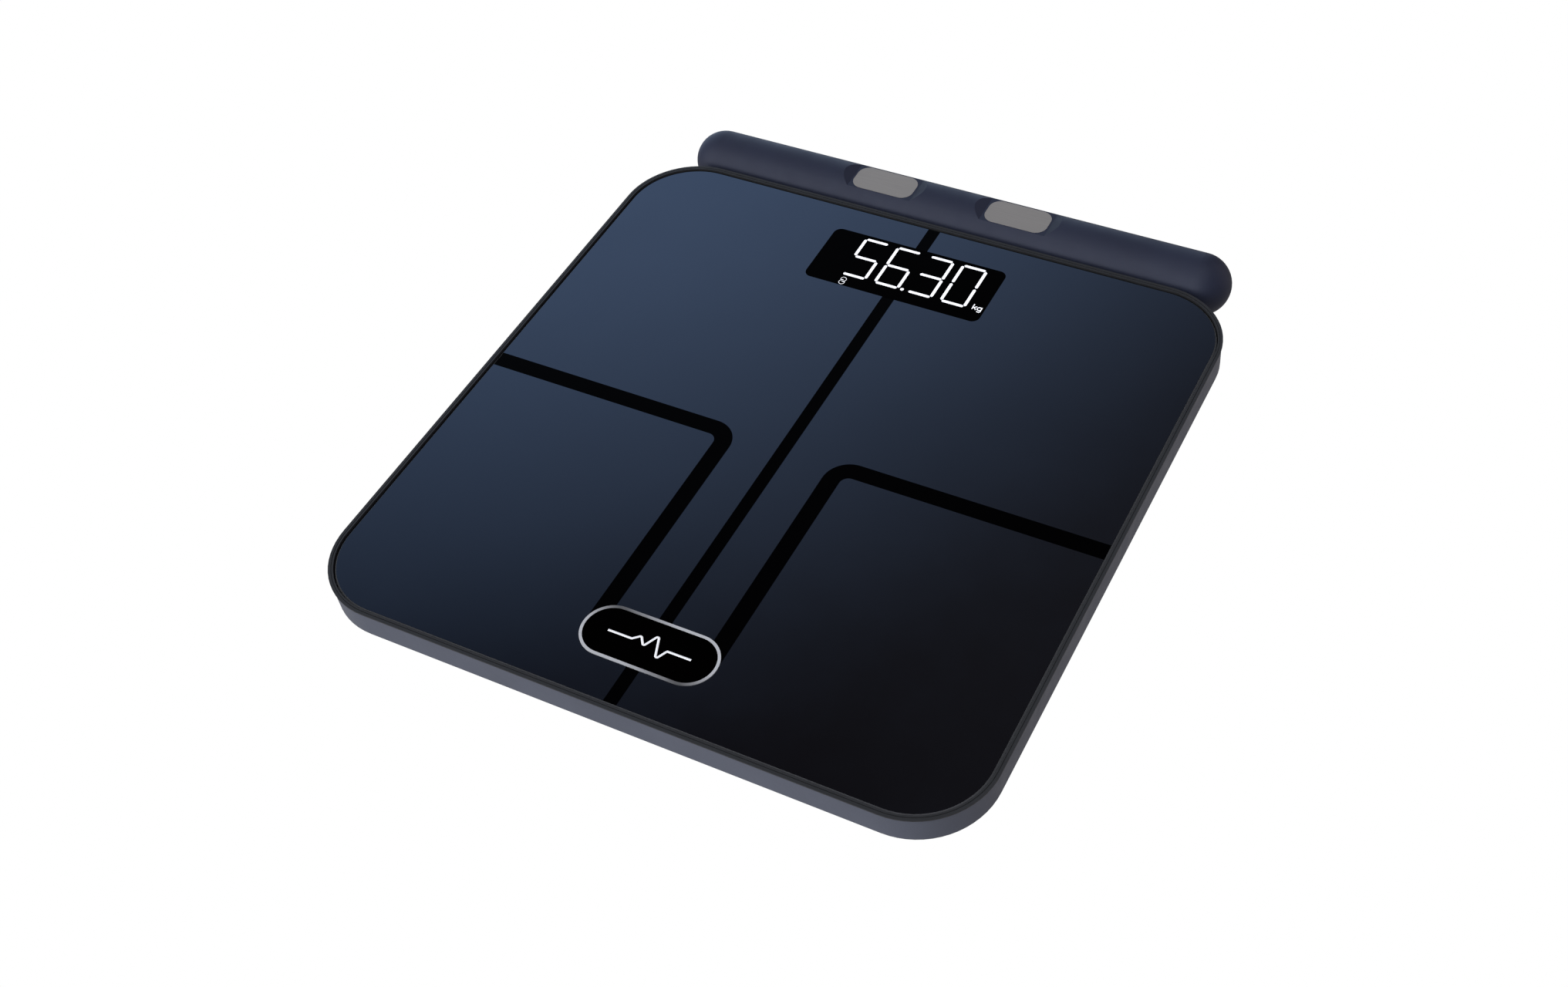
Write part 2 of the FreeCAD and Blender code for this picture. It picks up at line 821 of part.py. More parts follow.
def bottom_cover():
    body = new_body("bottom_cover")
    slope_height = S.shell_bottom - S.cover_bottom
    outside = body.newObject("PartDesign::AdditiveLoft", "cover_outside")
    outside.Profile = platform_outline(new_sketch(body), S.cover_low_inset)
    outside.Sections = [platform_outline(new_sketch(body, level=slope_height), S.cover_top_inset)]
    outside.Ruled = True
    doc.recompute()
    solid_volume = body.Shape.Volume
    inside = body.newObject("PartDesign::SubtractiveLoft", "cover_inside")
    inside.Profile = platform_outline(new_sketch(body, level=S.cover_thickness), S.cover_low_hollow)
    inside.Sections = [platform_outline(new_sketch(body, level=slope_height), S.cover_top_hollow)]
    inside.Ruled = True
    doc.recompute()
    if body.Shape.Volume > MOST_LEFT_WHEN_HOLLOW * solid_volume:
        raise RuntimeError("the bottom cover isn't hollow")
    floor = S.cover_thickness
    bosses = circles(new_sketch(body, level=floor), housing_screw_places, S.boss_radius)
    pad(body, bosses, S.boss_top - cover_floor)
    posts = circles(new_sketch(body, level=floor), board_post_places, S.post_radius)
    pad(body, posts, S.board_bottom - cover_floor)
    pocket(body, circles(new_sketch(body), foot_places, S.foot_hole_radius))
    pocket(body, rectangle(new_sketch(body), S.bay_width, S.bay_length, 0, 0, S.bay_y))
    pocket(body, circles(new_sketch(body), [(S.button_x, S.button_y)], S.button_hole_radius))
    pocket(body, circles(new_sketch(body), housing_screw_places, S.screw_bore_radius))
    sinks = circles(new_sketch(body), housing_screw_places, S.screw_sink_radius)
    pocket(body, sinks, S.screw_sink_depth, upwards=True)
    post_holes = circles(
        new_sketch(body, level=S.board_bottom - S.cover_bottom), board_post_places, S.board_screw_radius
    )
    pocket(body, post_holes, S.board_bottom - cover_floor)
    pin_holes = circles(
        new_sketch(body, "YZ_Plane"), [(hinge_y, S.cover_thickness / 2)], S.door_pin_hole_radius
    )
    pin_span = S.bay_width + 2 * (S.door_pin_reach + S.door_gap)
    pocket(body, pin_holes, pin_span, both_ways=True)
    cradle_holes = [(x, y - platform_y) for x, y in cradle_screw_places]
    pocket(body, circles(new_sketch(body), cradle_holes, S.screw_shank_radius))
    keep(place(body, 0, platform_y, S.cover_bottom), "bottom_cover")


def screw_group(label, places, head_bottom, head, shank, head_up=False):
    """
    Identical cross-recessed screws as one object. The head and the shank are (radius, length) pairs.
    The shank leaves the head upwards, or downwards when the head is up.
    """
    head_radius, head_height = head
    shank_radius, reach = shank
    cross_depth = head_height * CROSS_DEPTH
    if head_up:
        shank_bottom = head_bottom - reach
        cross_bottom = head_bottom + head_height - cross_depth
    else:
        shank_bottom = head_bottom + head_height
        cross_bottom = head_bottom
    long_side = head_radius * CROSS_LENGTH
    short_side = head_radius * CROSS_WIDTH
    solids = []
    for x, y in places:
        blank = cylinder(label + "_blank", head_radius, head_height, x, y, head_bottom)
        arms = [
            box(label + "_arm", long_side, short_side, cross_depth, x, y, cross_bottom),
            box(label + "_arm", short_side, long_side, cross_depth, x, y, cross_bottom),
        ]
        solids.append(cut_away(label + "_head", blank, joined(label + "_cross", arms)))
        solids.append(cylinder(label + "_shank", shank_radius, reach, x, y, shank_bottom))
    keep(joined(label, solids), label)


def housing_screws():
    screw_group(
        "housing_screws",
        [(x, y + platform_y) for x, y in housing_screw_places],
        S.cover_bottom + S.screw_sink_depth - S.screw_head_height,
        (S.screw_head_radius, S.screw_head_height),
        (S.screw_shank_radius, S.screw_reach),
    )


# ---- feet and load cells ----


def foot(corner, i, j):
    """A floating foot with a flange that keeps it in, and the ringed rubber pad under it."""
    x = i * S.foot_offset
    y = j * S.foot_offset + platform_y
    plunger = [
        (0, S.pad_height),
        (S.foot_radius, S.pad_height),
        (S.foot_radius, S.foot_flange_bottom),
        (S.foot_flange_radius, S.foot_flange_bottom),
        (S.foot_flange_radius, S.foot_flange_top),
        (0, S.foot_flange_top),
    ]
    keep(revolved(f"foot_{corner}", plunger, x=x, y=y), f"foot_{corner}")
    groove_edge = S.pad_groove_radius + S.pad_groove_width
    rubber = [
        (0, 0),
        (S.pad_groove_radius, 0),
        (S.pad_groove_radius, S.pad_groove_depth),
        (groove_edge, S.pad_groove_depth),
        (groove_edge, 0),
        (S.pad_radius - S.pad_chamfer, 0),
        (S.pad_radius, S.pad_chamfer),
        (S.pad_radius, S.pad_height),
        (0, S.pad_height),
    ]
    keep(revolved(f"foot_pad_{corner}", rubber, x=x, y=y), f"foot_pad_{corner}")


def load_cell(corner, i, j):
    """A half-bridge load cell: a steel frame with a tongue cut free on three sides and a block on it."""
    body = new_body(f"load_cell_{corner}")
    pad(body, rectangle(new_sketch(body), S.cell_side, S.cell_side, S.cell_corner), S.cell_thickness)
    slot = new_sketch(body)
    outer = S.cell_slot_outer / 2
    inner = outer - S.cell_slot_width
    slot_corners = [(-outer, -outer), (outer, -outer), (outer, inner), (inner, inner)]
    slot_corners += [(inner, -inner), (-inner, -inner), (-inner, inner), (-outer, inner)]
    pocket(body, outline(slot, slot_corners))
    block = new_sketch(body, level=S.cell_thickness)
    rectangle(block, S.cell_block, S.cell_block, S.cell_block_corner)
    pad(body, block, S.cell_block_height)
    keep(
        place(body, i * S.foot_offset, j * S.foot_offset + platform_y, S.cell_bottom),
        f"load_cell_{corner}",
    )


def load_cell_brackets():
    bottom = S.cell_bottom + S.cell_thickness
    height = tray_bottom - bottom
    frames = []
    for i, j in CORNERS.values():
        x, y = i * S.foot_offset, j * S.foot_offset + platform_y
        block = box("bracket_block", S.bracket_side, S.bracket_side, height, x, y, bottom)
        opening = box("bracket_opening_box", S.bracket_opening, S.bracket_opening, height, x, y, bottom)
        frames.append(cut_away("bracket_frame", block, opening))
    keep(joined("load_cell_brackets", frames), "load_cell_brackets")


# ---- battery bay ----


def battery_box():
    body = new_body("battery_box")
    outer_width = S.bay_width + 2 * S.bay_wall
    outer_length = S.bay_length + 2 * S.bay_wall
    pad(body, rectangle(new_sketch(body), outer_width, outer_length), S.bay_top - cover_floor)
    pocket(body, rectangle(new_sketch(body), S.bay_width, S.bay_length))
    keep(place(body, 0, S.bay_y + platform_y, cover_floor), "battery_box")


battery_spring = (S.bay_length - S.battery_length - S.battery_nub_length) / 2
battery_columns = [(i - (BATTERY_COUNT - 1) / 2) * S.cell_pitch for i in range(BATTERY_COUNT)]


def batteries():
    """Cells side by side, every other one turned end for end."""
    solids = []
    for number, x in enumerate(battery_columns):
        towards, turn = (1, LAID_BACK) if number % 2 else (-1, LAID_FORWARD)
        start = S.bay_y + platform_y - towards * (S.bay_length / 2 - battery_spring)
        can = cylinder("battery_can", S.battery_radius, S.battery_length, x, start, S.battery_axis, turn)
        nub_start = start + towards * S.battery_length
        nub = cylinder(
            "battery_nub", S.battery_nub_radius, S.battery_nub_length, x, nub_start, S.battery_axis, turn
        )
        solids += [can, nub]
    keep(joined("batteries", solids), "batteries")


def battery_contacts():
    side = S.contact_side
    thickness = S.contact_thickness
    stub_length = battery_spring - thickness
    plate_bottom = S.battery_axis - side / 2
    solids = []
    for x in battery_columns:
        for end, turn in ((-1, LAID_BACK), (1, LAID_FORWARD)):
            wall = S.bay_y + platform_y + end * S.bay_length / 2
            plate_y = wall - end * thickness / 2
            stub_start = wall - end * thickness
            solids.append(box("contact_plate", side, thickness, side, x, plate_y, plate_bottom))
            spring = (S.contact_spring_radius, stub_length, x, stub_start, S.battery_axis, turn)
            solids.append(cylinder("contact_spring", *spring))
    keep(joined("battery_contacts", solids), "battery_contacts")


def battery_door():
    """A plate with a full-round hinge edge and two pins on the hinge line."""
    body = new_body("battery_door")
    thickness = S.cover_thickness
    half = thickness / 2
    length = S.bay_length - 2 * S.door_gap - half
    width = S.bay_width - 2 * S.door_gap
    top = S.door_thickness - half
    section = new_sketch(body, "YZ_Plane")
    polygon(section, [(-length, -half), (0, -half), (0, top), (-length, top)])
    pad(body, section, width, both_ways=True)
    barrel = circles(new_sketch(body, "YZ_Plane"), [(0, 0)], half)
    pad(body, barrel, width, both_ways=True)
    pins = circles(new_sketch(body, "YZ_Plane"), [(0, 0)], S.door_pin_radius)
    pad(body, pins, width + 2 * S.door_pin_reach, both_ways=True)
    grip = circles(new_sketch(body, level=-half), [(0, S.grip_inset - length)], S.grip_radius)
    pocket(body, grip, S.grip_depth, upwards=True)
    keep(place(body, 0, hinge_y + platform_y, hinge_z), "battery_door")


# ---- unit button and main board ----


def unit_button():
    body = revolved(
        "unit_button",
        [
            (0, S.button_face),
            (S.button_radius, S.button_face),
            (S.button_radius, S.button_flange_bottom),
            (S.button_flange_radius, S.button_flange_bottom),
            (S.button_flange_radius, S.button_flange_top),
            (S.button_post_radius, S.button_flange_top),
            (S.button_post_radius, S.button_post_top),
            (0, S.button_post_top),
        ],
        x=S.button_x,
        y=S.button_y + platform_y,
    )
    keep(body, "unit_button")


def unit_switch():
    body = new_body("unit_switch")
    square = rectangle(new_sketch(body), S.switch_side, S.switch_side)
    pad(body, square, S.board_bottom - S.switch_bottom)
    hole = circles(new_sketch(body), [(0, 0)], S.switch_hole_radius)
    pocket(body, hole, S.switch_hole_depth, upwards=True)
    keep(place(body, S.button_x, S.button_y + platform_y, S.switch_bottom), "unit_switch")


def main_board():
    body = new_body("main_board")
    plate = new_sketch(body)
    rectangle(plate, S.board_width, S.board_depth, S.board_corner, S.board_x, S.board_y)
    pad(body, plate, S.board_thickness)
    pocket(body, circles(new_sketch(body), board_post_places, S.board_screw_radius))
    keep(place(body, 0, platform_y, S.board_bottom), "main_board")


def main_board_parts():
    solids = []
    for name, (width, depth, height, from_middle_x, from_middle_y) in BOARD_COMPONENTS.items():
        x = S.board_x + from_middle_x
        y = S.board_y + from_middle_y + platform_y
        solids.append(box(name, width, depth, height, x, y, board_top))
    keep(joined("main_board_parts", solids), "main_board_parts")


def board_screws():
    screw_group(
        "board_screws",
        [(x, y + platform_y) for x, y in board_post_places],
        board_top,
        (S.board_screw_head_radius, S.board_screw_head_height),
        (S.board_screw_radius, board_top - cover_floor),
        head_up=True,
    )


def display_module():
    y = S.display_y + platform_y
    bottom = mask_bottom - S.module_height
    module = box("display_module", S.module_width, S.module_depth, S.module_height, 0, y, bottom)
    keep(module, "display_module")
    thickness = S.module_board_thickness
    board = box("display_board", S.module_width, S.module_depth, thickness, 0, y, bottom - thickness)
    keep(board, "display_board")


# ---- cord reel and outlet ----


def reel_case():
    body = new_body("reel_case")
    pad(body, circles(new_sketch(body), [(0, 0)], S.reel_case_radius), S.reel_case_height)
    hollow_depth = S.reel_case_height - S.reel_floor
    hollow = circles(
        new_sketch(body, level=S.reel_case_height), [(0, 0)], S.reel_case_radius - S.reel_case_wall
    )
    pocket(body, hollow, hollow_depth)
    slot = new_sketch(body, "XZ_Plane")
    slot_middle = S.drum_bottom + S.drum_height / 2 - cover_floor
    rectangle(slot, S.exit_slot_width, S.exit_slot_height, 0, -S.reel_x, slot_middle)
    pocket(body, slot, S.reel_case_radius)
    keep(place(body, S.reel_x, S.reel_y + platform_y, cover_floor), "reel_case")


def reel_cover():
    level = cover_floor + S.reel_case_height
    cover = cylinder(
        "reel_cover", S.reel_case_radius, S.reel_cover_height, S.reel_x, S.reel_y + platform_y, level
    )
    keep(cover, "reel_cover")


def reel_axle():
    bottom = cover_floor + S.reel_floor
    length = S.reel_case_height - S.reel_floor
    axle = cylinder("reel_axle", S.axle_radius, length, S.reel_x, S.reel_y + platform_y, bottom)
    keep(axle, "reel_axle")


def reel_drum():
    body = revolved(
        "reel_drum",
        [
            (S.drum_bore_radius, 0),
            (S.drum_flange_radius, 0),
            (S.drum_flange_radius, S.drum_flange_height),
            (S.drum_core_radius, S.drum_flange_height),
            (S.drum_core_radius, S.drum_height - S.drum_flange_height),
            (S.drum_flange_radius, S.drum_height - S.drum_flange_height),
            (S.drum_flange_radius, S.drum_height),
            (S.drum_hollow_radius, S.drum_height),
            (S.drum_hollow_radius, S.drum_web_height),
            (S.drum_hub_radius, S.drum_web_height),
            (S.drum_hub_radius, S.drum_hub_height),
            (S.drum_bore_radius, S.drum_hub_height),
        ],
        x=S.reel_x,
        y=S.reel_y + platform_y,
        z=S.drum_bottom,
    )
    keep(body, "reel_drum")


def reel_spring():
    """A flat spiral of half turns, each of them a thin half ring about one of two centres."""
    half_rings = []
    height = S.spring_height.value
    half_pitch = S.spring_pitch.value / 2
    for step in range(2 * int(S.spring_turns.value)):
        radius = S.spring_start_radius.value + step * half_pitch
        shift = half_pitch / 2 * (1 if step % 2 else -1)
        centre = Vector(shift, 0, 0)
        start = 180 if step % 2 else 0
        outer = Part.makeCylinder(radius + S.spring_strip.value, height, centre, Z_AXIS, 180)
        inner = Part.makeCylinder(radius, height, centre, Z_AXIS, 180)
        half_ring = outer.cut(inner)
        half_ring.rotate(centre, Z_AXIS, start)
        half_rings.append(half_ring)
    part = doc.addObject("Part::Feature", "reel_spring")
    part.Shape = half_rings[0].multiFuse(half_rings[1:]).removeSplitter()
    keep(place(part, S.reel_x, S.reel_y + platform_y, S.spring_bottom), "reel_spring")


def cord_outlet():
    """A flanged bush in the back wall, its bore pointing back."""
    wall = S.shell_wall
    body = revolved(
        "cord_outlet",
        [
            (S.outlet_bore_radius, 0),
            (S.outlet_radius, 0),
            (S.outlet_radius, wall),
            (S.outlet_flange_radius, wall),
            (S.outlet_flange_radius, wall + S.outlet_flange_height),
            (S.outlet_bore_radius, wall + S.outlet_flange_height),
        ],
    )
    inner_face = back_edge - S.shell_inset - wall
    place(body, 0, inner_face, S.outlet_height, LAID_BACK)
    keep(body, "cord_outlet")


# ---- hand electrode bar ----


def capsule_profile(sketch, length, radius, wall):
    """Half the section of a hollow round-ended bar, closed along its axis."""
    centre = length / 2 - radius
    geometry = []
    for size in (radius, radius - wall):
        out = Vector(size.value, 0, 0)
        up = Vector(0, size.value, 0)
        slant = Vector(size.value * math.sqrt(0.5), size.value * math.sqrt(0.5), 0)
        lean = Vector(-slant.x, slant.y, 0)
        right = Vector(centre.value, 0, 0)
        left = Vector(-centre.value, 0, 0)
        right_arc = sketch.addGeometry(Part.Arc(right + out, right + slant, right + up), False)
        line = sketch.addGeometry(Part.LineSegment(right + up, left + up), False)
        left_arc = sketch.addGeometry(Part.Arc(left + up, left + lean, left - out), False)
        sketch.addConstraint(Sketcher.Constraint("Tangent", right_arc, 2, line, 1))
        sketch.addConstraint(Sketcher.Constraint("Tangent", line, 2, left_arc, 1))
        for arc, axis_point, place_x in ((right_arc, 1, centre), (left_arc, 2, -centre)):
            hold(sketch, "DistanceX", arc, 3, place_x)
            hold(sketch, "DistanceY", arc, 3, 0)
            hold(sketch, "DistanceY", arc, axis_point, 0)
            hold_radius(sketch, arc, size)
        geometry.append((right_arc, left_arc))
    (outer_right, outer_left), (inner_right, inner_left) = geometry
    for outer_arc, inner_arc, point in ((outer_right, inner_right, 1), (outer_left, inner_left, 2)):
        start = sketch.getPoint(outer_arc, point)
        end = sketch.getPoint(inner_arc, point)
        line = sketch.addGeometry(Part.LineSegment(start, end), False)
        sketch.addConstraint(Sketcher.Constraint("Coincident", outer_arc, point, line, 1))
        sketch.addConstraint(Sketcher.Constraint("Coincident", inner_arc, point, line, 2))
    return sketch


def handle_shell(label, upper):
    """Half of the bar's hollow round-ended shell, with two flat recesses and their electrode seats."""
    body = new_body(label)
    profile = new_sketch(body, "XZ_Plane")
    capsule_profile(profile, S.handle_length, S.handle_radius, S.handle_wall)
    revolve(body, profile, "H_Axis", 180, symmetric=True)
    screw_places = [(side * S.handle_screw_x, 0) for side in SIDES.values()]
    pad(body, circles(new_sketch(body), screw_places, S.handle_boss_radius), S.handle_boss_length)
    for side in SIDES.values():
        middle = side * S.electrode_x
        recess_top = S.handle_radius + S.recess_margin
        recess = polygon(
            new_sketch(body, "XZ_Plane"),
            [
                (middle - S.facet_length / 2, S.facet_height),
                (middle + S.facet_length / 2, S.facet_height),
                (middle + S.recess_length / 2, recess_top),
                (middle - S.recess_length / 2, recess_top),
            ],
        )
        pocket(body, recess, S.handle_radius * 2, both_ways=True)
        seat = rectangle(
            new_sketch(body, level=S.facet_height),
            S.electrode_length,
            S.electrode_width,
            S.electrode_corner,
            middle,
        )
        pocket(body, seat, S.electrode_seat)
    inlet = circles(new_sketch(body, "XZ_Plane"), [(0, 0)], S.inlet_radius)
    pocket(body, inlet, S.handle_radius, upwards=upper)
    screw_holes = circles(new_sketch(body), screw_places, S.handle_screw_radius)
    if upper:
        pocket(body, screw_holes, S.handle_screw_depth, upwards=True)
    else:
        pocket(body, screw_holes)
        sinks = circles(new_sketch(body, level=-S.handle_sink_top), screw_places, S.handle_sink_radius)
        pocket(body, sinks, S.handle_radius, upwards=True)
    keep(place(body, 0, handle_y, handle_z, None if upper else UPSIDE_DOWN), label)


def handle_electrodes():
    seat = S.facet_height - S.electrode_seat
    plate = (S.electrode_length, S.electrode_width, S.electrode_corner)
    for finger, turn in (("thumb", None), ("finger", UPSIDE_DOWN)):
        for name, side in SIDES.items():
            label = f"{finger}_electrode_{name}"
            body = new_body(label)
            sketch = rectangle(new_sketch(body, level=seat), *plate, side * S.electrode_x)
            pad(body, sketch, S.electrode_thickness)
            keep(place(body, 0, handle_y, handle_z, turn), label)


def handle_board():
    board = box(
        "handle_board",
        S.handle_board_length,
        S.handle_board_width,
        S.handle_board_thickness,
        0,
        handle_y,
        handle_z - S.handle_board_thickness / 2,
    )
    keep(board, "handle_board")


def handle_inlet():
    """The plain bush in the bar's front face where its lead goes in."""
    front = handle_y - S.handle_radius + S.inlet_sink
    body = revolved(
        "handle_inlet",
        [
            (S.inlet_bore_radius, 0),
            (S.inlet_radius, 0),
            (S.inlet_radius, S.inlet_depth),
            (S.inlet_bore_radius, S.inlet_depth),
        ],
    )
    place(body, 0, front, handle_z, LAID_BACK)
    keep(body, "handle_inlet")


def handle_screws():
    screw_group(
        "handle_screws",
        [(side * S.handle_screw_x, handle_y) for side in SIDES.values()],
        handle_z + S.handle_sink_top - S.handle_head_height,
        (S.handle_head_radius, S.handle_head_height),
        (S.handle_screw_radius, S.handle_screw_depth - S.handle_sink_top),
    )


def magnets(label, start_y, level, length):
    """Two round magnets that lie along Y, one near each end of the cradle."""
    solids = [
        cylinder("magnet", S.magnet_radius, length, side * S.magnet_x, start_y, level, LAID_BACK)
        for side in SIDES.values()
    ]
    keep(joined(label, solids), label)


# ---- dock cradle ----

cradle_screw_places = [(side * S.cradle_screw_x, S.cradle_screw_y) for side in SIDES.values()]


def dock_cradle():
    """A bracket under the back edge whose hollow the bar rests in."""
    body = new_body("dock_cradle")
    low_edge = back_edge - S.cover_low_inset
    top_edge = back_edge - S.cover_top_inset
    seat_radius = S.handle_radius + S.cradle_clearance
    hold_angle = math.radians(S.cradle_hold_angle.value)
    side_reach = seat_radius * math.cos(hold_angle)
    side_drop = seat_radius * math.sin(hold_angle)
    lip = handle_y + S.cradle_lip
    section = polygon(
        new_sketch(body, "YZ_Plane"),
        [
            (S.cradle_front, S.cover_bottom),
            (S.cradle_front, S.cradle_bottom),
            (lip, S.cradle_bottom),
            (lip, S.cradle_lip_height),
            (handle_y - side_reach + S.cradle_shoulder, handle_z - side_drop),
            (top_edge, S.shell_bottom),
            (low_edge, S.cover_bottom),
        ],
    )
    pad(body, section, S.cradle_length, both_ways=True)
    hollow = circles(new_sketch(body, "YZ_Plane"), [(handle_y, handle_z)], seat_radius)
    pocket(body, hollow)
    magnet_places = [(side * S.magnet_x, S.dock_magnet_z) for side in SIDES.values()]
    magnet_holes = new_sketch(body, "XZ_Plane", -S.dock_magnet_back)
    circles(magnet_holes, magnet_places, S.magnet_radius)
    pocket(body, magnet_holes, S.handle_radius)
    pocket(body, circles(new_sketch(body), cradle_screw_places, S.screw_bore_radius))
    sinks = circles(new_sketch(body, level=S.cradle_bottom), cradle_screw_places, S.screw_sink_radius)
    pocket(body, sinks, S.cradle_sink_depth, upwards=True)
    keep(body, "dock_cradle")


def cradle_screws():
    screw_group(
        "cradle_screws",
        cradle_screw_places,
        S.cradle_bottom + S.cradle_sink_depth - S.screw_head_height,
        (S.screw_head_radius, S.screw_head_height),
        (S.screw_shank_radius, S.cradle_screw_reach),
    )


# ---- build, check and write ----

glass_platform()
for corner, (i, j) in CORNERS.items():
    electrode_film(corner, i, j)
badge()
display_window()
display_segments()
bezel_frame()
glass_mask()
glass_tape()
platform_tray()
side_shell()
bottom_cover()
housing_screws()
for corner, (i, j) in CORNERS.items():
    foot(corner, i, j)
    load_cell(corner, i, j)
load_cell_brackets()
battery_box()
batteries()
battery_contacts()
battery_door()
unit_button()
unit_switch()
main_board()
main_board_parts()
board_screws()
display_module()
reel_case()
reel_cover()
reel_axle()
reel_drum()
reel_spring()
cord_outlet()
handle_shell("handle_upper_shell", upper=True)
handle_shell("handle_lower_shell", upper=False)
handle_electrodes()
handle_board()
handle_inlet()
handle_screws()
magnets(
    "handle_magnets",
    handle_y + S.handle_magnet_back - S.handle_magnet_length,
    handle_z + S.handle_magnet_z,
    S.handle_magnet_length,
)
dock_cradle()
cradle_screws()
magnets("dock_magnets", S.dock_magnet_back, S.dock_magnet_z, S.dock_magnet_length)
doc.recompute()

for item in doc.Objects:
    if "Invalid" in item.State or "Error" in item.State:
        raise RuntimeError(f"{item.Name} failed to rebuild: {item.State}")
for part in sub_parts:
    if part.Shape.isNull() or not part.Shape.isValid() or part.Shape.Volume <= 0:
        raise RuntimeError(f"{part.Label} has no sound shape")

os.makedirs("parts", exist_ok=True)
for part in sub_parts:
    part.Shape.exportStep(f"parts/{part.Label}.step")
print(f"{len(sub_parts)} sub-parts written")
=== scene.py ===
import json
import math

import bmesh
import bpy
from mathutils import Matrix, Vector


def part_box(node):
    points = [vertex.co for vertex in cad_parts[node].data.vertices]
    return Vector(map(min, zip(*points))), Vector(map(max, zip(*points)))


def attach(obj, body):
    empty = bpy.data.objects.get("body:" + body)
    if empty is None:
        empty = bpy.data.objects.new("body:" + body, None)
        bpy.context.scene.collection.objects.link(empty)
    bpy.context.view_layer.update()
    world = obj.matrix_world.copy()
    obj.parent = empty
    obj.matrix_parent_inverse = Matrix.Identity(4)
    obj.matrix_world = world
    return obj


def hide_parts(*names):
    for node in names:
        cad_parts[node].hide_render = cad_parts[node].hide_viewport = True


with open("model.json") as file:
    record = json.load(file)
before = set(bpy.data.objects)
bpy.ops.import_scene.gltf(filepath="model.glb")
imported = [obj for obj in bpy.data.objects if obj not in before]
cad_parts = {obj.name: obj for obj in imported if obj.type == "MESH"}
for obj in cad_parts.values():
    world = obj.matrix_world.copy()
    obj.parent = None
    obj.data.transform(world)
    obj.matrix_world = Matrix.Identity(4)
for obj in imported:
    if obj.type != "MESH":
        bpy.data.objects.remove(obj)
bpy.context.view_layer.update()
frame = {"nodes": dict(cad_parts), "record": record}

# Looks for the digital bathroom scale. Lengths are in metres unless a name ends in _mm.

NODES = frame["nodes"]
SCALE_BODY = "scale_body"


def mm(value):
    """Millimetres as metres."""
    return value * 0.001


# ---- node helpers ----

# A mix node's colour sockets share their names with its other sockets, so they are found by place.
MIX_COLOUR_A, MIX_COLOUR_B, MIX_COLOUR_RESULT = 6, 7, 2


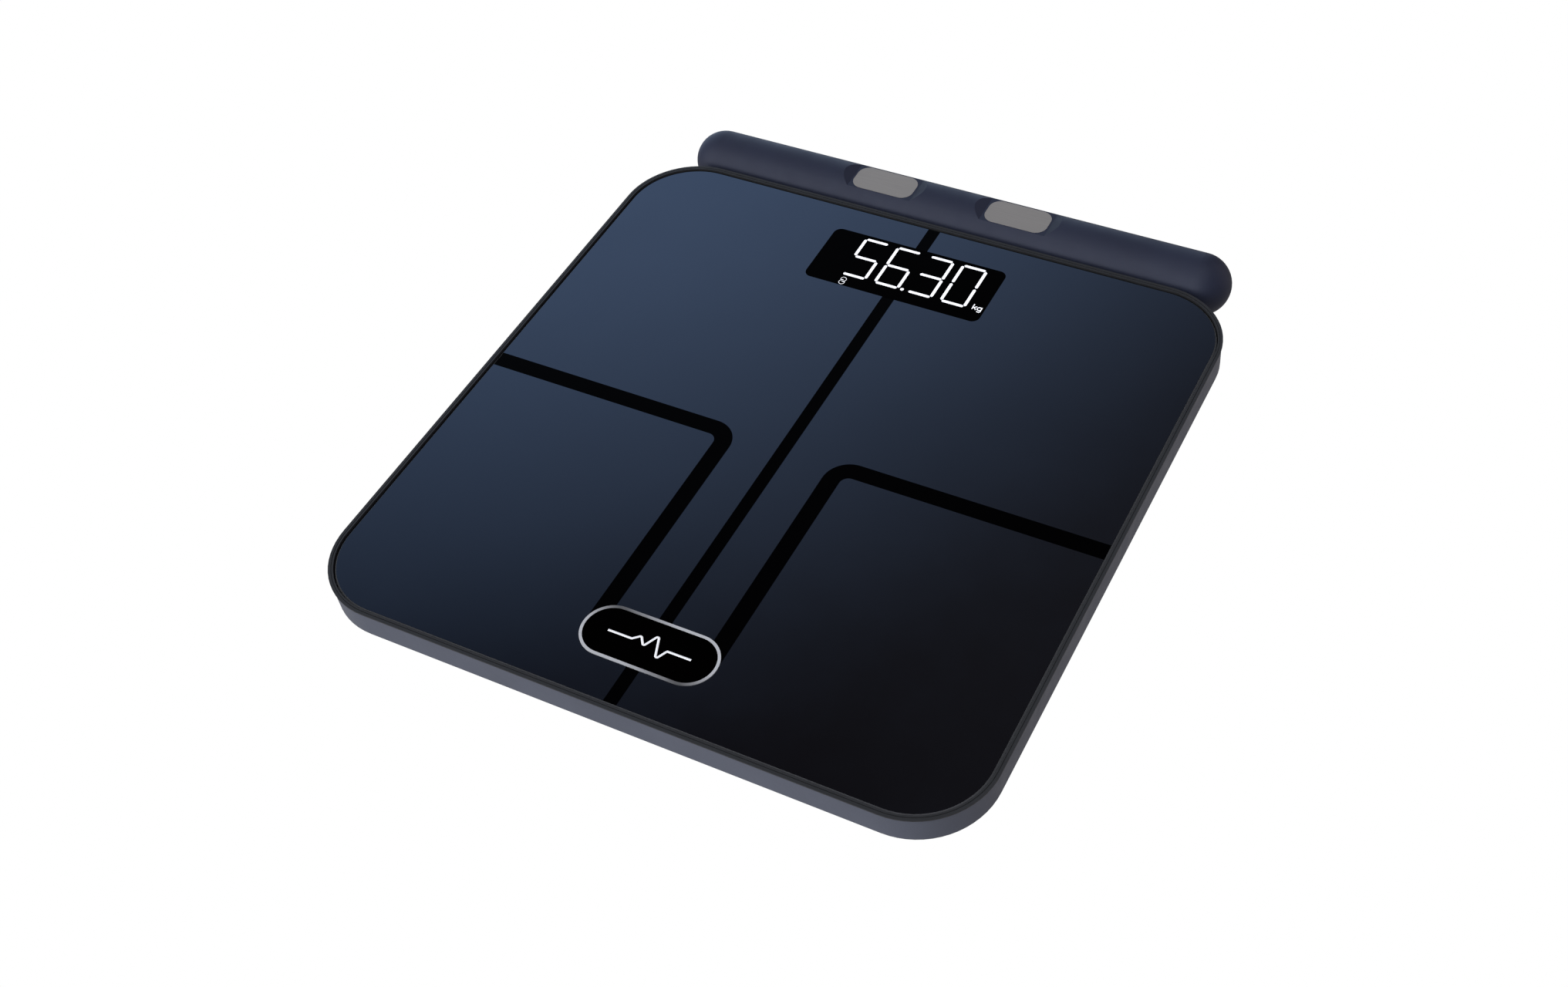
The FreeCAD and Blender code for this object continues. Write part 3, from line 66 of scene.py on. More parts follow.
class Shader:
    """A material with one Principled shader, and short calls for the nodes that feed it."""

    def __init__(self, name, metallic=0.0, specular=0.5, coat=0.0, coat_roughness=0.05, sheen=0.0):
        self.material = bpy.data.materials.new(name)
        self.material.use_nodes = True
        self.tree = self.material.node_tree
        self.tree.nodes.clear()
        self.output = self.add("ShaderNodeOutputMaterial")
        self.bsdf = self.add("ShaderNodeBsdfPrincipled")
        self.bsdf.inputs["Metallic"].default_value = metallic
        self.bsdf.inputs["Specular IOR Level"].default_value = specular
        self.bsdf.inputs["Coat Weight"].default_value = coat
        self.bsdf.inputs["Coat Roughness"].default_value = coat_roughness
        self.bsdf.inputs["Sheen Weight"].default_value = sheen
        self.link(self.bsdf.outputs["BSDF"], self.output.inputs["Surface"])
        self.place = self.add("ShaderNodeTexCoord").outputs["Object"]
        self.normal = self.add("ShaderNodeNewGeometry").outputs["Normal"]

    def add(self, kind, **settings):
        node = self.tree.nodes.new(kind)
        for key, value in settings.items():
            setattr(node, key, value)
        return node

    def link(self, source, target):
        self.tree.links.new(source, target)

    def put(self, node, name, value):
        """Sets an input, given by name or place, from a number, a colour or another node's output."""
        socket = node.inputs[name]
        if isinstance(value, bpy.types.NodeSocket):
            self.link(value, socket)
        else:
            socket.default_value = value

    def stretched(self, x=1.0, y=1.0, z=1.0):
        mapping = self.add("ShaderNodeMapping")
        self.link(self.place, mapping.inputs["Vector"])
        mapping.inputs["Scale"].default_value = (x, y, z)
        return mapping.outputs["Vector"]

    def noise(self, size, detail=3.0, roughness=0.55, vector=None):
        """Noise from 0 to 1 whose blobs are about size metres across."""
        node = self.add("ShaderNodeTexNoise")
        self.link(vector or self.place, node.inputs["Vector"])
        node.inputs["Scale"].default_value = 1.0 / size
        node.inputs["Detail"].default_value = detail
        node.inputs["Roughness"].default_value = roughness
        return node.outputs["Fac"]

    def cells(self, size, feature="F1", randomness=1.0):
        """Distance within cells that are about size metres across."""
        node = self.add("ShaderNodeTexVoronoi", feature=feature)
        self.link(self.place, node.inputs["Vector"])
        node.inputs["Scale"].default_value = 1.0 / size
        node.inputs["Randomness"].default_value = randomness
        return node.outputs["Distance"]

    def spread(self, value, low, high, to_low=0.0, to_high=1.0):
        """Maps low..high to to_low..to_high, clamped."""
        node = self.add("ShaderNodeMapRange", clamp=True)
        self.put(node, "Value", value)
        self.put(node, "From Min", low)
        self.put(node, "From Max", high)
        self.put(node, "To Min", to_low)
        self.put(node, "To Max", to_high)
        return node.outputs["Result"]

    def sums(self, operation, first, second=0.0):
        """The result of a math operation on two values, or on the first alone."""
        node = self.add("ShaderNodeMath", operation=operation)
        self.put(node, 0, first)
        self.put(node, 1, second)
        return node.outputs[0]

    def part_of(self, vector, axis):
        node = self.add("ShaderNodeSeparateXYZ")
        self.link(vector, node.inputs["Vector"])
        return node.outputs[axis]

    def blend(self, share, first, second):
        """A colour that goes from first to second with share."""
        node = self.add("ShaderNodeMix", data_type="RGBA")
        self.put(node, "Factor", share)
        for place, value in ((MIX_COLOUR_A, first), (MIX_COLOUR_B, second)):
            linked = isinstance(value, bpy.types.NodeSocket)
            self.put(node, place, value if linked else (*value, 1.0))
        return node.outputs[MIX_COLOUR_RESULT]

    def colour(self, value):
        self.link(value, self.bsdf.inputs["Base Color"])

    def roughness(self, value):
        self.put(self.bsdf, "Roughness", value)

    def glow(self, colour, strength):
        self.put(self.bsdf, "Emission Color", colour)
        self.bsdf.inputs["Emission Strength"].default_value = strength

    def bump(self, height, depth, strength=1.0):
        node = self.add("ShaderNodeBump")
        node.inputs["Distance"].default_value = depth
        node.inputs["Strength"].default_value = strength
        self.link(height, node.inputs["Height"])
        self.link(node.outputs["Normal"], self.bsdf.inputs["Normal"])


def shade(colour, factor):
    """The colour made darker or lighter by the factor."""
    return tuple(channel * factor for channel in colour)


def mottled(shader, colour, size, tone=0.08):
    """Base colour that drifts lighter and darker by tone over blobs of that size."""
    drift = shader.spread(shader.noise(size), 0.3, 0.7)
    shader.colour(shader.blend(drift, shade(colour, 1 - tone), shade(colour, 1 + tone)))


def uneven(shader, low, high, size):
    """Roughness that drifts between low and high over blobs of that size."""
    shader.roughness(shader.spread(shader.noise(size, detail=4.0), 0.3, 0.7, low, high))


# ---- materials ----


def coated_film():
    """Dark blue conductive coating on the glass: almost a mirror, with faint wiped-on marks."""
    shader = Shader("coated_film", metallic=1.0)
    grazing_tint = (0.42, 0.46, 0.53, 1)
    shader.bsdf.inputs["Specular Tint"].default_value = grazing_tint
    mottled(shader, (0.088, 0.109, 0.146), 0.12, tone=0.03)
    uneven(shader, 0.09, 0.14, 0.05)
    return shader.material


def black_glass():
    """Back-printed glass: black from above, with a grey bevel round the edge that is partly frosted
    ground glass and partly a painted highlight.
    """
    shader = Shader("black_glass", specular=0.02)
    flat, sloping = 0.999, 0.9
    # The bevel's lighter base colour is partly a frosted ground edge and partly a painted highlight, the
    # light line that the bevel catches.
    ground = shader.spread(shader.part_of(shader.normal, "Z"), flat, sloping)
    frost = shader.spread(shader.noise(mm(0.6)), 0.3, 0.7)
    edge = shader.blend(frost, (0.11, 0.111, 0.114), (0.14, 0.141, 0.145))
    shader.colour(shader.blend(ground, (0.0006, 0.0006, 0.0008), edge))
    shader.roughness(shader.spread(ground, 0.0, 1.0, 0.09, 0.42))
    return shader.material


def gloss_black():
    """Black window and badge print, glossy, with the faintest dust."""
    shader = Shader("gloss_black_print", specular=0.012)
    speck = shader.spread(shader.noise(mm(0.4), detail=6.0), 0.62, 0.8)
    shader.colour(shader.blend(speck, (0.0004, 0.0003, 0.0003), (0.0012, 0.0012, 0.0012)))
    uneven(shader, 0.08, 0.14, 0.02)
    return shader.material


def ring_metal():
    """Satin badge ring with fine lines turned along it, and a painted reflection that makes it brighter
    on two opposite sides.
    """
    shader = Shader("ring_metal", metallic=0.25)
    shader.bsdf.inputs["Anisotropic"].default_value = 0.8
    around = shader.add("ShaderNodeTangent", direction_type="RADIAL", axis="Z")
    shader.link(around.outputs["Tangent"], shader.bsdf.inputs["Tangent"])
    low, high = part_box("badge_ring")
    centre = (low + high) / 2
    sideways = shader.sums("SUBTRACT", shader.part_of(shader.place, "X"), centre.x)
    forwards = shader.sums("SUBTRACT", shader.part_of(shader.place, "Y"), centre.y)
    # Painted reflection: the base colour is dark near a slanted line through the ring's middle and light
    # on the two sides away from it.
    slant = 0.6
    lean = shader.sums("ABSOLUTE", shader.sums("ADD", shader.sums("MULTIPLY", sideways, slant), forwards))
    drift = shader.sums("MULTIPLY", shader.noise(mm(6)), mm(4))
    no_reflection_within, full_reflection_beyond = mm(3), mm(17)
    painted_reflection = shader.spread(shader.sums("ADD", lean, drift), no_reflection_within, full_reflection_beyond)
    shader.colour(shader.blend(painted_reflection, (0.19, 0.187, 0.183), (0.78, 0.77, 0.755)))
    uneven(shader, 0.26, 0.36, mm(3))
    shader.bump(shader.noise(mm(0.25), detail=5.0), mm(0.01), 0.3)
    return shader.material


def display_light():
    """Lit strokes on the window: white, with the faint unevenness of a light guide."""
    shader = Shader("display_light", specular=0.0)
    drift = shader.spread(shader.noise(mm(3)), 0.3, 0.7)
    white = shader.blend(drift, (0.97, 0.98, 1.0), (1.0, 1.0, 1.0))
    shader.colour(white)
    shader.glow(white, 0.5)
    shader.roughness(0.6)
    return shader.material


def white_print():
    """Matt white badge mark, slightly uneven in cover, with a little painted glow so that it stays white,
    though print gives off no light.
    """
    shader = Shader("white_print", specular=0.2)
    mottled(shader, (0.86, 0.86, 0.87), mm(1.5), tone=0.04)
    uneven(shader, 0.5, 0.65, mm(2))
    # Painted glow: the print emits a little light, though it is no lamp.
    shader.glow((1, 1, 1, 1), 0.35)
    return shader.material


def bezel_plastic():
    """Dark satin rim with a fine moulded grain."""
    shader = Shader("bezel_plastic", specular=0.4)
    mottled(shader, (0.026, 0.026, 0.0265), mm(14), tone=0.07)
    uneven(shader, 0.46, 0.58, mm(5))
    shader.bump(shader.noise(mm(0.35), detail=4.0), mm(0.03), 0.35)
    return shader.material


def shell_metal():
    """Painted aluminium side band: blue grey, with tiny metal flakes in the paint."""
    shader = Shader("shell_metal", metallic=0.2, specular=0.4)
    flake = shader.spread(shader.cells(mm(0.35)), 0.05, 0.5)
    drift = shader.spread(shader.noise(mm(30)), 0.3, 0.7)
    base = shader.blend(drift, (0.101, 0.111, 0.142), (0.116, 0.127, 0.162))
    shader.colour(shader.blend(flake, (0.128, 0.138, 0.173), base))
    uneven(shader, 0.36, 0.46, mm(8))
    shader.bump(shader.noise(mm(0.5), detail=3.0), mm(0.015), 0.3)
    return shader.material


def handle_plastic():
    """Soft-touch dark blue grey bar, with painted shade on the right sloping end of each recess."""
    shader = Shader("handle_plastic", specular=0.22)
    drift = shader.spread(shader.noise(mm(22)), 0.3, 0.7)
    skin = shader.blend(drift, (0.027, 0.031, 0.053), (0.030, 0.035, 0.060))
    tilt = shader.part_of(shader.normal, "X")
    from_middle = shader.sums("ABSOLUTE", shader.part_of(shader.place, "X"))
    recess_end, blur = mm(70), mm(5)
    near_middle = shader.spread(from_middle, recess_end, recess_end - blur)
    # Painted shade: the base colour darkens on recess sides that face -X, near the bar's middle.
    painted_recess_shade = shader.sums("MULTIPLY", shader.spread(tilt, -0.1, -0.3), near_middle)
    shader.colour(shader.blend(painted_recess_shade, skin, (0.014, 0.016, 0.028)))
    uneven(shader, 0.42, 0.52, mm(7))
    shader.bump(shader.noise(mm(0.28), detail=5.0), mm(0.02), 0.35)
    return shader.material


def hand_electrode():
    """Satin stainless plate, brushed along the bar."""
    shader = Shader("hand_electrode", metallic=0.35)
    lines = shader.noise(mm(1), detail=6.0, vector=shader.stretched(0.05, 4.0, 4.0))
    tone = shader.spread(lines, 0.25, 0.75)
    shader.colour(shader.blend(tone, (0.335, 0.303, 0.266), (0.4, 0.362, 0.318)))
    shader.roughness(shader.spread(lines, 0.3, 0.7, 0.38, 0.5))
    shader.bump(lines, mm(0.01), 0.3)
    return shader.material


def grained_plastic(name, colour, grain_mm, depth_mm, low=0.5, high=0.65):
    """Moulded plastic with a spark-eroded grain."""
    shader = Shader(name, specular=0.4)
    mottled(shader, colour, mm(25), tone=0.08)
    uneven(shader, low, high, mm(6))
    shader.bump(shader.noise(mm(grain_mm), detail=4.0), mm(depth_mm), 0.5)
    return shader.material


def foam():
    """Closed-cell foam tape."""
    shader = Shader("foam_tape", specular=0.2)
    cell = shader.cells(mm(0.8))
    shader.colour(shader.blend(shader.spread(cell, 0.1, 0.7), (0.012, 0.012, 0.013), (0.04, 0.04, 0.042)))
    shader.roughness(0.9)
    shader.bump(cell, mm(0.15), 0.7)
    return shader.material


def black_print():
    shader = Shader("black_print", specular=0.2)
    mottled(shader, (0.006, 0.006, 0.007), mm(6), tone=0.15)
    uneven(shader, 0.45, 0.6, mm(3))
    return shader.material


def steel(name, colour=(0.55, 0.55, 0.56), low=0.22, high=0.38):
    """Plated steel with fine scratches and a faint cloudiness."""
    shader = Shader(name, metallic=1.0)
    scratch = shader.noise(mm(0.6), detail=7.0, vector=shader.stretched(1.0, 0.12, 1.0))
    tone = shader.spread(scratch, 0.3, 0.7)
    shader.colour(shader.blend(tone, shade(colour, 0.85), shade(colour, 1.1)))
    uneven(shader, low, high, mm(4))
    shader.bump(scratch, mm(0.01), 0.3)
    return shader.material


def rubber():
    """Foot rubber: matt, slightly dusty."""
    shader = Shader("foot_rubber", specular=0.3, sheen=0.1)
    dust = shader.spread(shader.noise(mm(7), detail=6.0), 0.45, 0.75)
    shader.colour(shader.blend(dust, (0.016, 0.016, 0.017), (0.034, 0.033, 0.032)))
    uneven(shader, 0.7, 0.85, mm(4))
    shader.bump(shader.noise(mm(0.5), detail=4.0), mm(0.05), 0.5)
    return shader.material


def battery_wrap():
    """Cell sleeves: dark body, a warm band near one end and bare metal ends."""
    shader = Shader("battery_wrap", coat=0.3)
    low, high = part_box("batteries")
    length = high.y - low.y
    band_start = high.y - 0.24 * length
    band_blur = 0.01 * length
    band = shader.spread(shader.part_of(shader.place, "Y"), band_start, band_start + band_blur)
    facing = shader.sums("ABSOLUTE", shader.part_of(shader.normal, "Y"))
    bare = shader.spread(facing, 0.6, 0.9)
    print_noise = shader.spread(shader.noise(mm(2.5)), 0.3, 0.7)
    body = shader.blend(print_noise, (0.02, 0.022, 0.026), (0.03, 0.032, 0.038))
    sleeve = shader.blend(band, body, (0.55, 0.17, 0.03))
    shader.colour(shader.blend(bare, sleeve, (0.6, 0.6, 0.58)))
    shader.roughness(shader.spread(bare, 0.0, 1.0, 0.28, 0.35))
    return shader.material


def board_green():
    """Circuit board: green solder mask over copper tracks, with tinned dots."""
    shader = Shader("board_green", specular=0.5, coat=0.4, coat_roughness=0.2)
    cell = shader.cells(mm(4), feature="DISTANCE_TO_EDGE", randomness=0.35)
    track = shader.spread(cell, 0.06, 0.03)
    dots = shader.spread(shader.cells(mm(4), randomness=0.35), 0.16, 0.12)
    mask = shader.blend(track, (0.008, 0.07, 0.024), (0.02, 0.15, 0.045))
    shader.colour(shader.blend(dots, mask, (0.55, 0.53, 0.5)))
    shader.roughness(shader.spread(dots, 0.0, 1.0, 0.38, 0.25))
    shader.bump(track, mm(0.03), 0.4)
    return shader.material


MATERIALS = {
    "glass": black_glass(),
    "electrode_film": coated_film(),
    "badge_ring_metal": ring_metal(),
    "gloss_black": gloss_black(),
    "display_light": display_light(),
    "bezel_plastic": bezel_plastic(),
    "black_print": black_print(),
    "foam": foam(),
    "inner_plastic": grained_plastic("inner_plastic", (0.05, 0.05, 0.052), 0.7, 0.05),
    "shell_metal": shell_metal(),
    "cover_plastic": grained_plastic("cover_plastic", (0.03, 0.032, 0.04), 0.45, 0.05),
    "steel": steel("plated_steel"),
    "rubber": rubber(),
    "battery_wrap": battery_wrap(),
    "board_green": board_green(),
    "black_plastic": grained_plastic("black_plastic", (0.012, 0.012, 0.013), 0.4, 0.03, 0.35, 0.5),
    "magnet_nickel": steel("magnet_nickel", (0.6, 0.58, 0.54), 0.15, 0.25),
    "handle_plastic": handle_plastic(),
    "electrode_steel": hand_electrode(),
}
PRINT = white_print()


def finish_cad_nodes():
    """Every carried-over node gets its finish by the material slot that the record gives it."""
    for row in frame["record"]["subparts"]:
        node = NODES[row["node"]]
        node.data.materials.clear()
        node.data.materials.append(MATERIALS[row["material_slot"]])


# ---- pieces drawn in mesh code ----


def piece_from(name, mesh, material, body):
    piece = bpy.data.objects.new(name, mesh)
    bpy.context.scene.collection.objects.link(piece)
    mesh.materials.append(material)
    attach(piece, body)
    return piece


def plate(shape, outline, bottom, thickness, round_off=0.0):
    """Adds a flat plate with that outline to a bmesh. Its upright edges are rounded by round_off."""
    below = [shape.verts.new((x, y, bottom)) for x, y in outline]
    above = [shape.verts.new((x, y, bottom + thickness)) for x, y in outline]
    shape.faces.new(list(reversed(below)))
    shape.faces.new(above)
    uprights = []
    for i in range(len(outline)):
        j = (i + 1) % len(outline)
        shape.faces.new((below[i], below[j], above[j], above[i]))
        uprights.append(shape.edges.get((below[i], above[i])))
    if round_off:
        bmesh.ops.bevel(shape, geom=uprights, offset=round_off, segments=4, profile=0.5, affect="EDGES")


def to_mesh(name, shape):
    mesh = bpy.data.meshes.new(name)
    bmesh.ops.recalc_face_normals(shape, faces=shape.faces)
    shape.to_mesh(mesh)
    shape.free()
    return mesh


READING = "5630"
STROKES_OF = {
    "0": ("top", "upper_left", "upper_right", "lower_left", "lower_right", "bottom"),
    "3": ("top", "upper_right", "middle", "lower_right", "bottom"),
    "5": ("top", "upper_left", "middle", "lower_right", "bottom"),
    "6": ("top", "upper_left", "middle", "lower_left", "lower_right", "bottom"),
}
# Each stroke's ends as shares of half the digit's width and height.
STROKE_ENDS = {
    "top": ((-1, 1), (1, 1)),
    "middle": ((-1, 0), (1, 0)),
    "bottom": ((-1, -1), (1, -1)),
    "upper_left": ((-1, 0), (-1, 1)),
    "upper_right": ((1, 0), (1, 1)),
    "lower_left": ((-1, -1), (-1, 0)),
    "lower_right": ((1, -1), (1, 0)),
}
DIGIT_WIDTH = mm(13)
STROKE_WIDTH = mm(1.44)
STROKE_GAP = mm(0.34)
STROKE_ROUND_OFF = mm(0.22)
TIP_TAPER = 0.75
PRINT_THICKNESS = mm(0.06)


def stroke_outline(start, end):
    """A bar between two points with pointed ends, held back from both by the gap."""
    along = (end - start).normalized()
    side = Vector((-along.y, along.x))
    half = STROKE_WIDTH / 2
    tip_a = start + along * STROKE_GAP
    tip_b = end - along * STROKE_GAP
    shoulder = along * half * TIP_TAPER
    return [
        tip_a,
        tip_a + shoulder - side * half,
        tip_b - shoulder - side * half,
        tip_b,
        tip_b - shoulder + side * half,
        tip_a + shoulder + side * half,
    ]


def round_outline(centre, radius, count=32):
    turns = [math.tau * i / count for i in range(count)]
    return [(centre.x + radius * math.cos(a), centre.y + radius * math.sin(a)) for a in turns]


def lit_reading():
    """The reading, in rounded strokes, over the same spots as the frame's strokes."""
    low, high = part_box("display_segments")
    pitch = (high.x - low.x - DIGIT_WIDTH) / (len(READING) - 1)
    half_x = (DIGIT_WIDTH - STROKE_WIDTH) / 2
    half_y = (high.y - low.y - STROKE_WIDTH) / 2
    middle_y = (low.y + high.y) / 2
    shape = bmesh.new()
    for place, digit in enumerate(READING):
        centre = Vector((low.x + DIGIT_WIDTH / 2 + place * pitch, middle_y))
        for stroke in STROKES_OF[digit]:
            ends = [centre + Vector((x * half_x, y * half_y)) for x, y in STROKE_ENDS[stroke]]
            plate(shape, stroke_outline(*ends), low.z, PRINT_THICKNESS, STROKE_ROUND_OFF)
    after_second_digit = low.x + DIGIT_WIDTH + pitch
    point = Vector((after_second_digit + mm(1.5), low.y + STROKE_WIDTH * 0.55))
    point_radius = STROKE_WIDTH * 0.6
    plate(shape, round_outline(point, point_radius), low.z, PRINT_THICKNESS)
    mesh = to_mesh("lit_reading", shape)
    piece = piece_from("lit_reading", mesh, MATERIALS["display_light"], SCALE_BODY)
    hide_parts("display_segments")


def ribbon(name, paths, width, bottom, material):
    """Flat strips of one width that follow the paths, as one printed piece on the scale's top."""
    profile = bpy.data.curves.new(name + "_profile", "CURVE")
    half, top = width / 2, PRINT_THICKNESS
    corners = [(-half, 0), (half, 0), (half, top), (-half, top)]
    spline = profile.splines.new("POLY")
    spline.points.add(len(corners) - 1)
    for point, (x, y) in zip(spline.points, corners):
        point.co = (x, y, 0, 1)
    spline.use_cyclic_u = True
    profile_object = bpy.data.objects.new(name + "_profile", profile)
    line = bpy.data.curves.new(name, "CURVE")
    line.dimensions = "3D"
    line.twist_mode = "Z_UP"
    line.bevel_mode = "OBJECT"
    line.bevel_object = profile_object
    line.use_fill_caps = True
    for path in paths:
        spline = line.splines.new("POLY")
        spline.points.add(len(path) - 1)
        for point, (x, y) in zip(spline.points, path):
            point.co = (x, y, bottom, 1)
    line_object = bpy.data.objects.new(name, line)
    bpy.context.scene.collection.objects.link(profile_object)
    bpy.context.scene.collection.objects.link(line_object)
    bpy.context.view_layer.update()
    evaluated = line_object.evaluated_get(bpy.context.evaluated_depsgraph_get())
    mesh = bpy.data.meshes.new_from_object(evaluated)
    bpy.data.objects.remove(line_object)
    bpy.data.objects.remove(profile_object)
    mesh.materials.clear()
    return piece_from(name, mesh, material, SCALE_BODY)


MOST_OF_A_RUN = 0.45  # of a run that one rounded corner may use


def softened(path, radius, count=6):
    """The same path with each inner corner rounded to that radius, or less where its runs are short."""
    points = [Vector(p) for p in path]
    result = [points[0]]
    for before, corner, after in zip(points, points[1:], points[2:]):
        back = (before - corner).normalized()
        ahead = (after - corner).normalized()
        half_angle = back.angle(ahead) / 2
        longest = MOST_OF_A_RUN * min((before - corner).length, (after - corner).length)
        hold = min(radius / math.tan(half_angle), longest)
        true_radius = hold * math.tan(half_angle)
        middle = (back + ahead).normalized()
        centre = corner + middle * (true_radius / math.sin(half_angle))
        start = corner + back * hold - centre
        end = corner + ahead * hold - centre
        for i in range(count + 1):
            spoke = start.lerp(end, i / count).normalized() * true_radius
            result.append(centre + spoke)
    result.append(points[-1])
    return [tuple(p) for p in result]


def arc(centre, radius, first, last, count):
    """Points on an arc between two angles in degrees."""
    turns = [math.radians(first + (last - first) * i / count) for i in range(count + 1)]
    return [centre + radius * Vector((math.cos(a), math.sin(a))) for a in turns]


def link_hook(centre, turn, count=24):
    """An open round loop with a short tail inside and a longer one below it, as a path."""
    inner_tail, outer_tail = Vector((mm(0.2), mm(0.62))), Vector((mm(0.05), mm(-0.48)))
    loop = arc(Vector((0, mm(0.98))), mm(1.35), 205, -50, count)
    spin = Matrix.Rotation(turn, 2)
    return [tuple(spin @ point + centre) for point in (inner_tail, *loop, outer_tail)]


def unit_letters(foot, count=24):
    """The paths of a k and a g, from the foot of the k's stem. They are drawn in millimetres."""
    stem = [(0, 0), (0, 3.3)]
    arm = [(0.15, 0.85), (1.7, 2.15)]
    leg = [(0.72, 1.2), (1.75, 0)]
    bowl = arc(Vector((3.2, 1.08)), 0.96, 30, 330, count)
    hook = softened([(4.2, 2.2), (4.2, -1.05), (2.5, -0.85)], 0.9)
    return [[(foot.x + mm(x), foot.y + mm(y)) for x, y in path] for path in (stem, arm, leg, bowl, hook)]


def display_signs():
    """The unit and a small link sign beside the reading."""
    low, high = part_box("display_window")
    letters = unit_letters(Vector((high.x - mm(5.8), low.y + mm(7.7))))
    centre = Vector((low.x + mm(19.2), low.y + mm(3.0)))
    hooks = [link_hook(centre, turn) for turn in (0.0, math.pi)]
    light = MATERIALS["display_light"]
    for name, paths, width in (("unit_sign", letters, mm(0.48)), ("link_sign", hooks, mm(0.23))):
        ribbon(name, paths, width, high.z, light)


def badge_mark():
    """A plain pulse line across the badge. Its beat is drawn in millimetres from the middle."""
    low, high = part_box("badge_plate")
    centre = (low + high) / 2
    beat = [(-19, 0), (-8, 0), (-5, 2.6), (-2, -1.5), (1.5, 5.6), (5.6, -5.2), (8.2, 0), (19, 0)]
    path = [(centre.x + mm(x), centre.y + mm(y)) for x, y in beat]
    corner_radius = mm(0.7)
    ribbon("badge_mark", [softened(path, corner_radius)], mm(0.95), high.z, PRINT)


# ---- stage ----


FLOOR_REACH = 12.0


def floor():
    """Pale floor, plain white to a camera above it, open from below so that the underside can be seen."""
    material = bpy.data.materials.new("stage_floor")
    material.use_nodes = True
    tree = material.node_tree
    tree.nodes.clear()
    output = tree.nodes.new("ShaderNodeOutputMaterial")
    path = tree.nodes.new("ShaderNodeLightPath")
    side = tree.nodes.new("ShaderNodeNewGeometry")
    white = tree.nodes.new("ShaderNodeEmission")
    clear = tree.nodes.new("ShaderNodeBsdfTransparent")
    from_above = tree.nodes.new("ShaderNodeMixShader")
    both = tree.nodes.new("ShaderNodeMixShader")
    white.inputs["Strength"].default_value = 1.0
    tree.links.new(path.outputs["Is Camera Ray"], from_above.inputs["Fac"])
    tree.links.new(clear.outputs["BSDF"], from_above.inputs[1])
    tree.links.new(white.outputs["Emission"], from_above.inputs[2])
    tree.links.new(side.outputs["Backfacing"], both.inputs["Fac"])
    tree.links.new(from_above.outputs["Shader"], both.inputs[1])
    tree.links.new(clear.outputs["BSDF"], both.inputs[2])
    tree.links.new(both.outputs["Shader"], output.inputs["Surface"])
    shape = bmesh.new()
    signs = ((-1, -1), (1, -1), (1, 1), (-1, 1))
    shape.faces.new([shape.verts.new((x * FLOOR_REACH, y * FLOOR_REACH, 0)) for x, y in signs])
    mesh = to_mesh("stage_floor", shape)
    mesh.materials.append(material)
    ground = bpy.data.objects.new("stage_floor", mesh)
    bpy.context.scene.collection.objects.link(ground)


def direction(azimuth, elevation):
    """Unit vector towards that azimuth, in degrees from +Y to +X, and elevation."""
    a, e = math.radians(azimuth), math.radians(elevation)
    return Vector((math.sin(a) * math.cos(e), math.cos(a) * math.cos(e), math.sin(e)))


# Soft light boxes: azimuth, elevation, strength, half angles of the full and of the fading part,
# and colour. Angles are in degrees.
SOFT_BOXES = (
    (-42, 10, 0.88, 14, 45, (0.74, 0.95, 1.27)),
    (-15, 43, 0.04, 5, 26, (1.0, 0.86, 0.78)),
    (-150, 18, 1.65, 15, 60, (0.98, 1.0, 1.06)),
    (178, 36, 0.4, 20, 50, (0.85, 0.98, 1.2)),
    (52, 16, 0.5, 15, 45, (1.0, 0.95, 1.12)),
    (150, 84, 0.9, 5, 36, (0.97, 1.0, 1.04)),
    (0, -90, 0.3, 60, 92, (1.0, 1.0, 1.0)),
)
AMBIENT = (0.031, 0.021, 0.021)
BACKDROP_COLOUR = (1, 1, 1, 1)


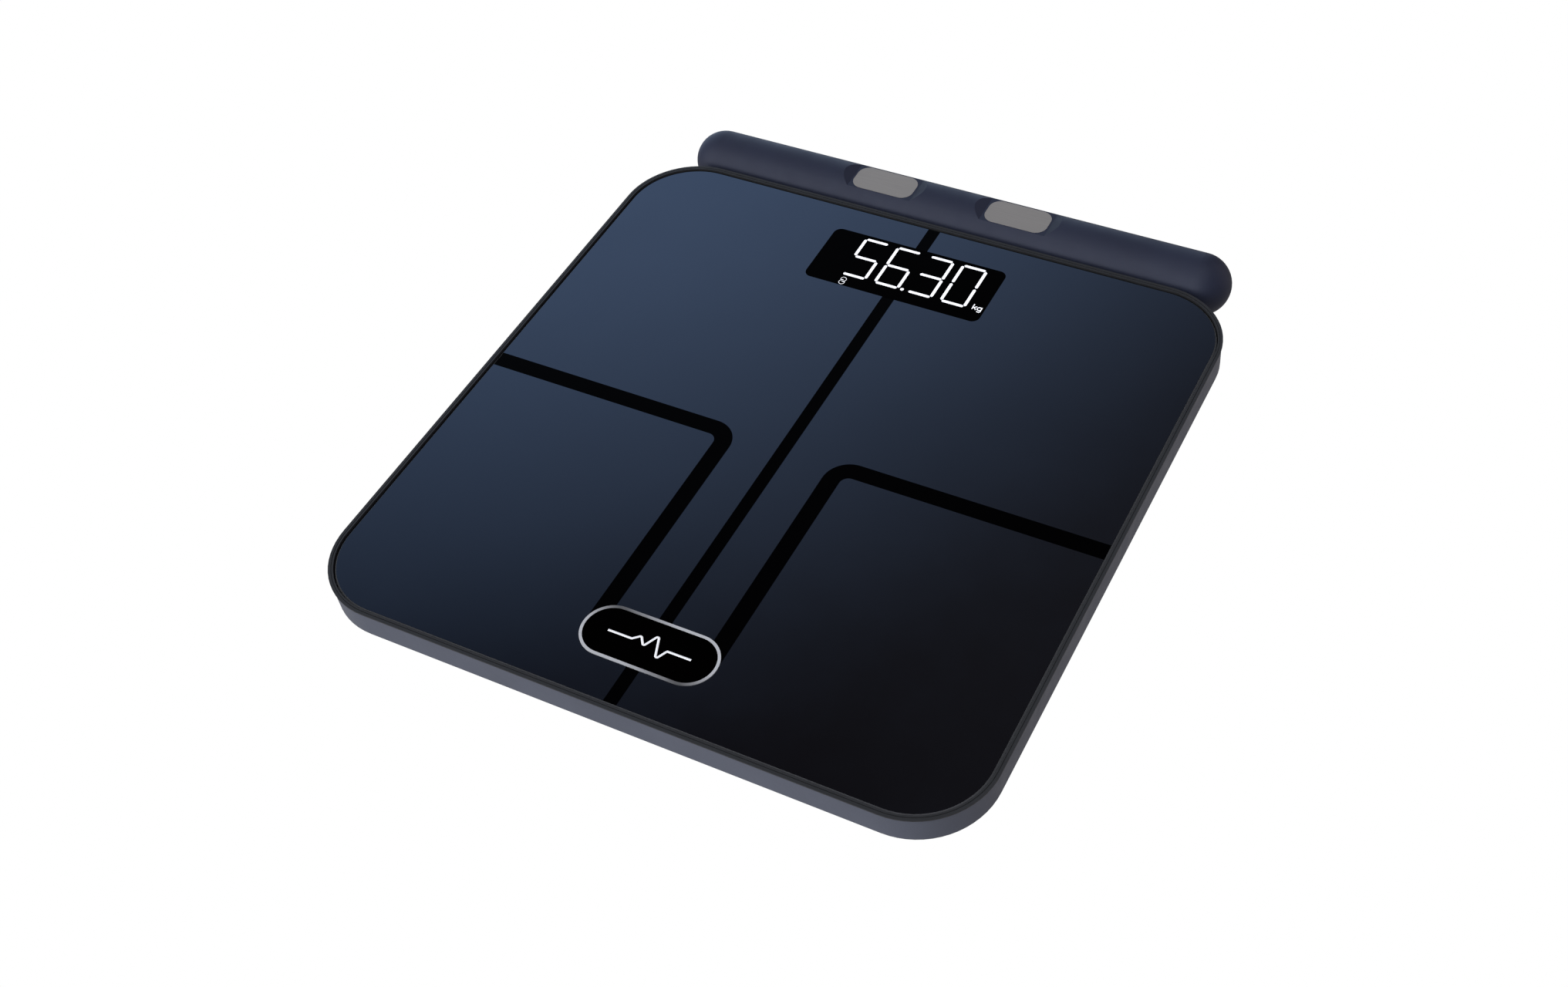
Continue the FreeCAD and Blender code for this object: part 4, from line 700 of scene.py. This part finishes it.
def studio_light():
    """A dark room with a few large soft boxes for the light, and a plain pale backdrop for the eye."""
    world = bpy.data.worlds.new("studio")
    bpy.context.scene.world = world
    world.use_nodes = True
    tree = world.node_tree
    tree.nodes.clear()
    output = tree.nodes.new("ShaderNodeOutputWorld")
    looking = tree.nodes.new("ShaderNodeTexCoord").outputs["Generated"]
    total = None
    for azimuth, elevation, strength, full, fading, tint in SOFT_BOXES:
        dot = tree.nodes.new("ShaderNodeVectorMath")
        dot.operation = "DOT_PRODUCT"
        tree.links.new(looking, dot.inputs[0])
        dot.inputs[1].default_value = direction(azimuth, elevation)
        fade = tree.nodes.new("ShaderNodeMapRange")
        fade.interpolation_type = "SMOOTHSTEP"
        tree.links.new(dot.outputs["Value"], fade.inputs["Value"])
        fade.inputs["From Min"].default_value = math.cos(math.radians(fading))
        fade.inputs["From Max"].default_value = math.cos(math.radians(full))
        fade.inputs["To Max"].default_value = strength
        join = tree.nodes.new("ShaderNodeVectorMath")
        join.operation = "MULTIPLY_ADD"
        tree.links.new(fade.outputs["Result"], join.inputs[0])
        join.inputs[1].default_value = tint
        if total is None:
            join.inputs[2].default_value = AMBIENT
        else:
            tree.links.new(total, join.inputs[2])
        total = join.outputs["Vector"]
    room = tree.nodes.new("ShaderNodeBackground")
    tree.links.new(total, room.inputs["Color"])
    backdrop = tree.nodes.new("ShaderNodeBackground")
    backdrop.inputs["Color"].default_value = BACKDROP_COLOUR
    path = tree.nodes.new("ShaderNodeLightPath")
    seen = tree.nodes.new("ShaderNodeMixShader")
    tree.links.new(path.outputs["Is Camera Ray"], seen.inputs["Fac"])
    tree.links.new(room.outputs["Background"], seen.inputs[1])
    tree.links.new(backdrop.outputs["Background"], seen.inputs[2])
    tree.links.new(seen.outputs["Shader"], output.inputs["Surface"])


def camera():
    """The photograph's view: from the front right, looking down, with a slight roll."""
    data = bpy.data.cameras.new("camera")
    data.sensor_width = 36
    data.lens = 44.12
    data.shift_x = -0.046
    data.clip_start = 0.01
    data.clip_end = 50
    place = Vector((0.3186, -0.4798, 0.6201))
    target = Vector((0.0399, -0.0299, 0.027))
    roll = math.radians(-6.884)
    turn = (target - place).to_track_quat("-Z", "Y").to_matrix().to_4x4()
    holder = bpy.data.objects.new("camera", data)
    holder.matrix_world = Matrix.Translation(place) @ turn @ Matrix.Rotation(roll, 4, "Z")
    bpy.context.scene.collection.objects.link(holder)
    bpy.context.scene.camera = holder


finish_cad_nodes()
lit_reading()
display_signs()
badge_mark()
floor()
studio_light()
camera()
bpy.context.scene.view_settings.view_transform = "Standard"
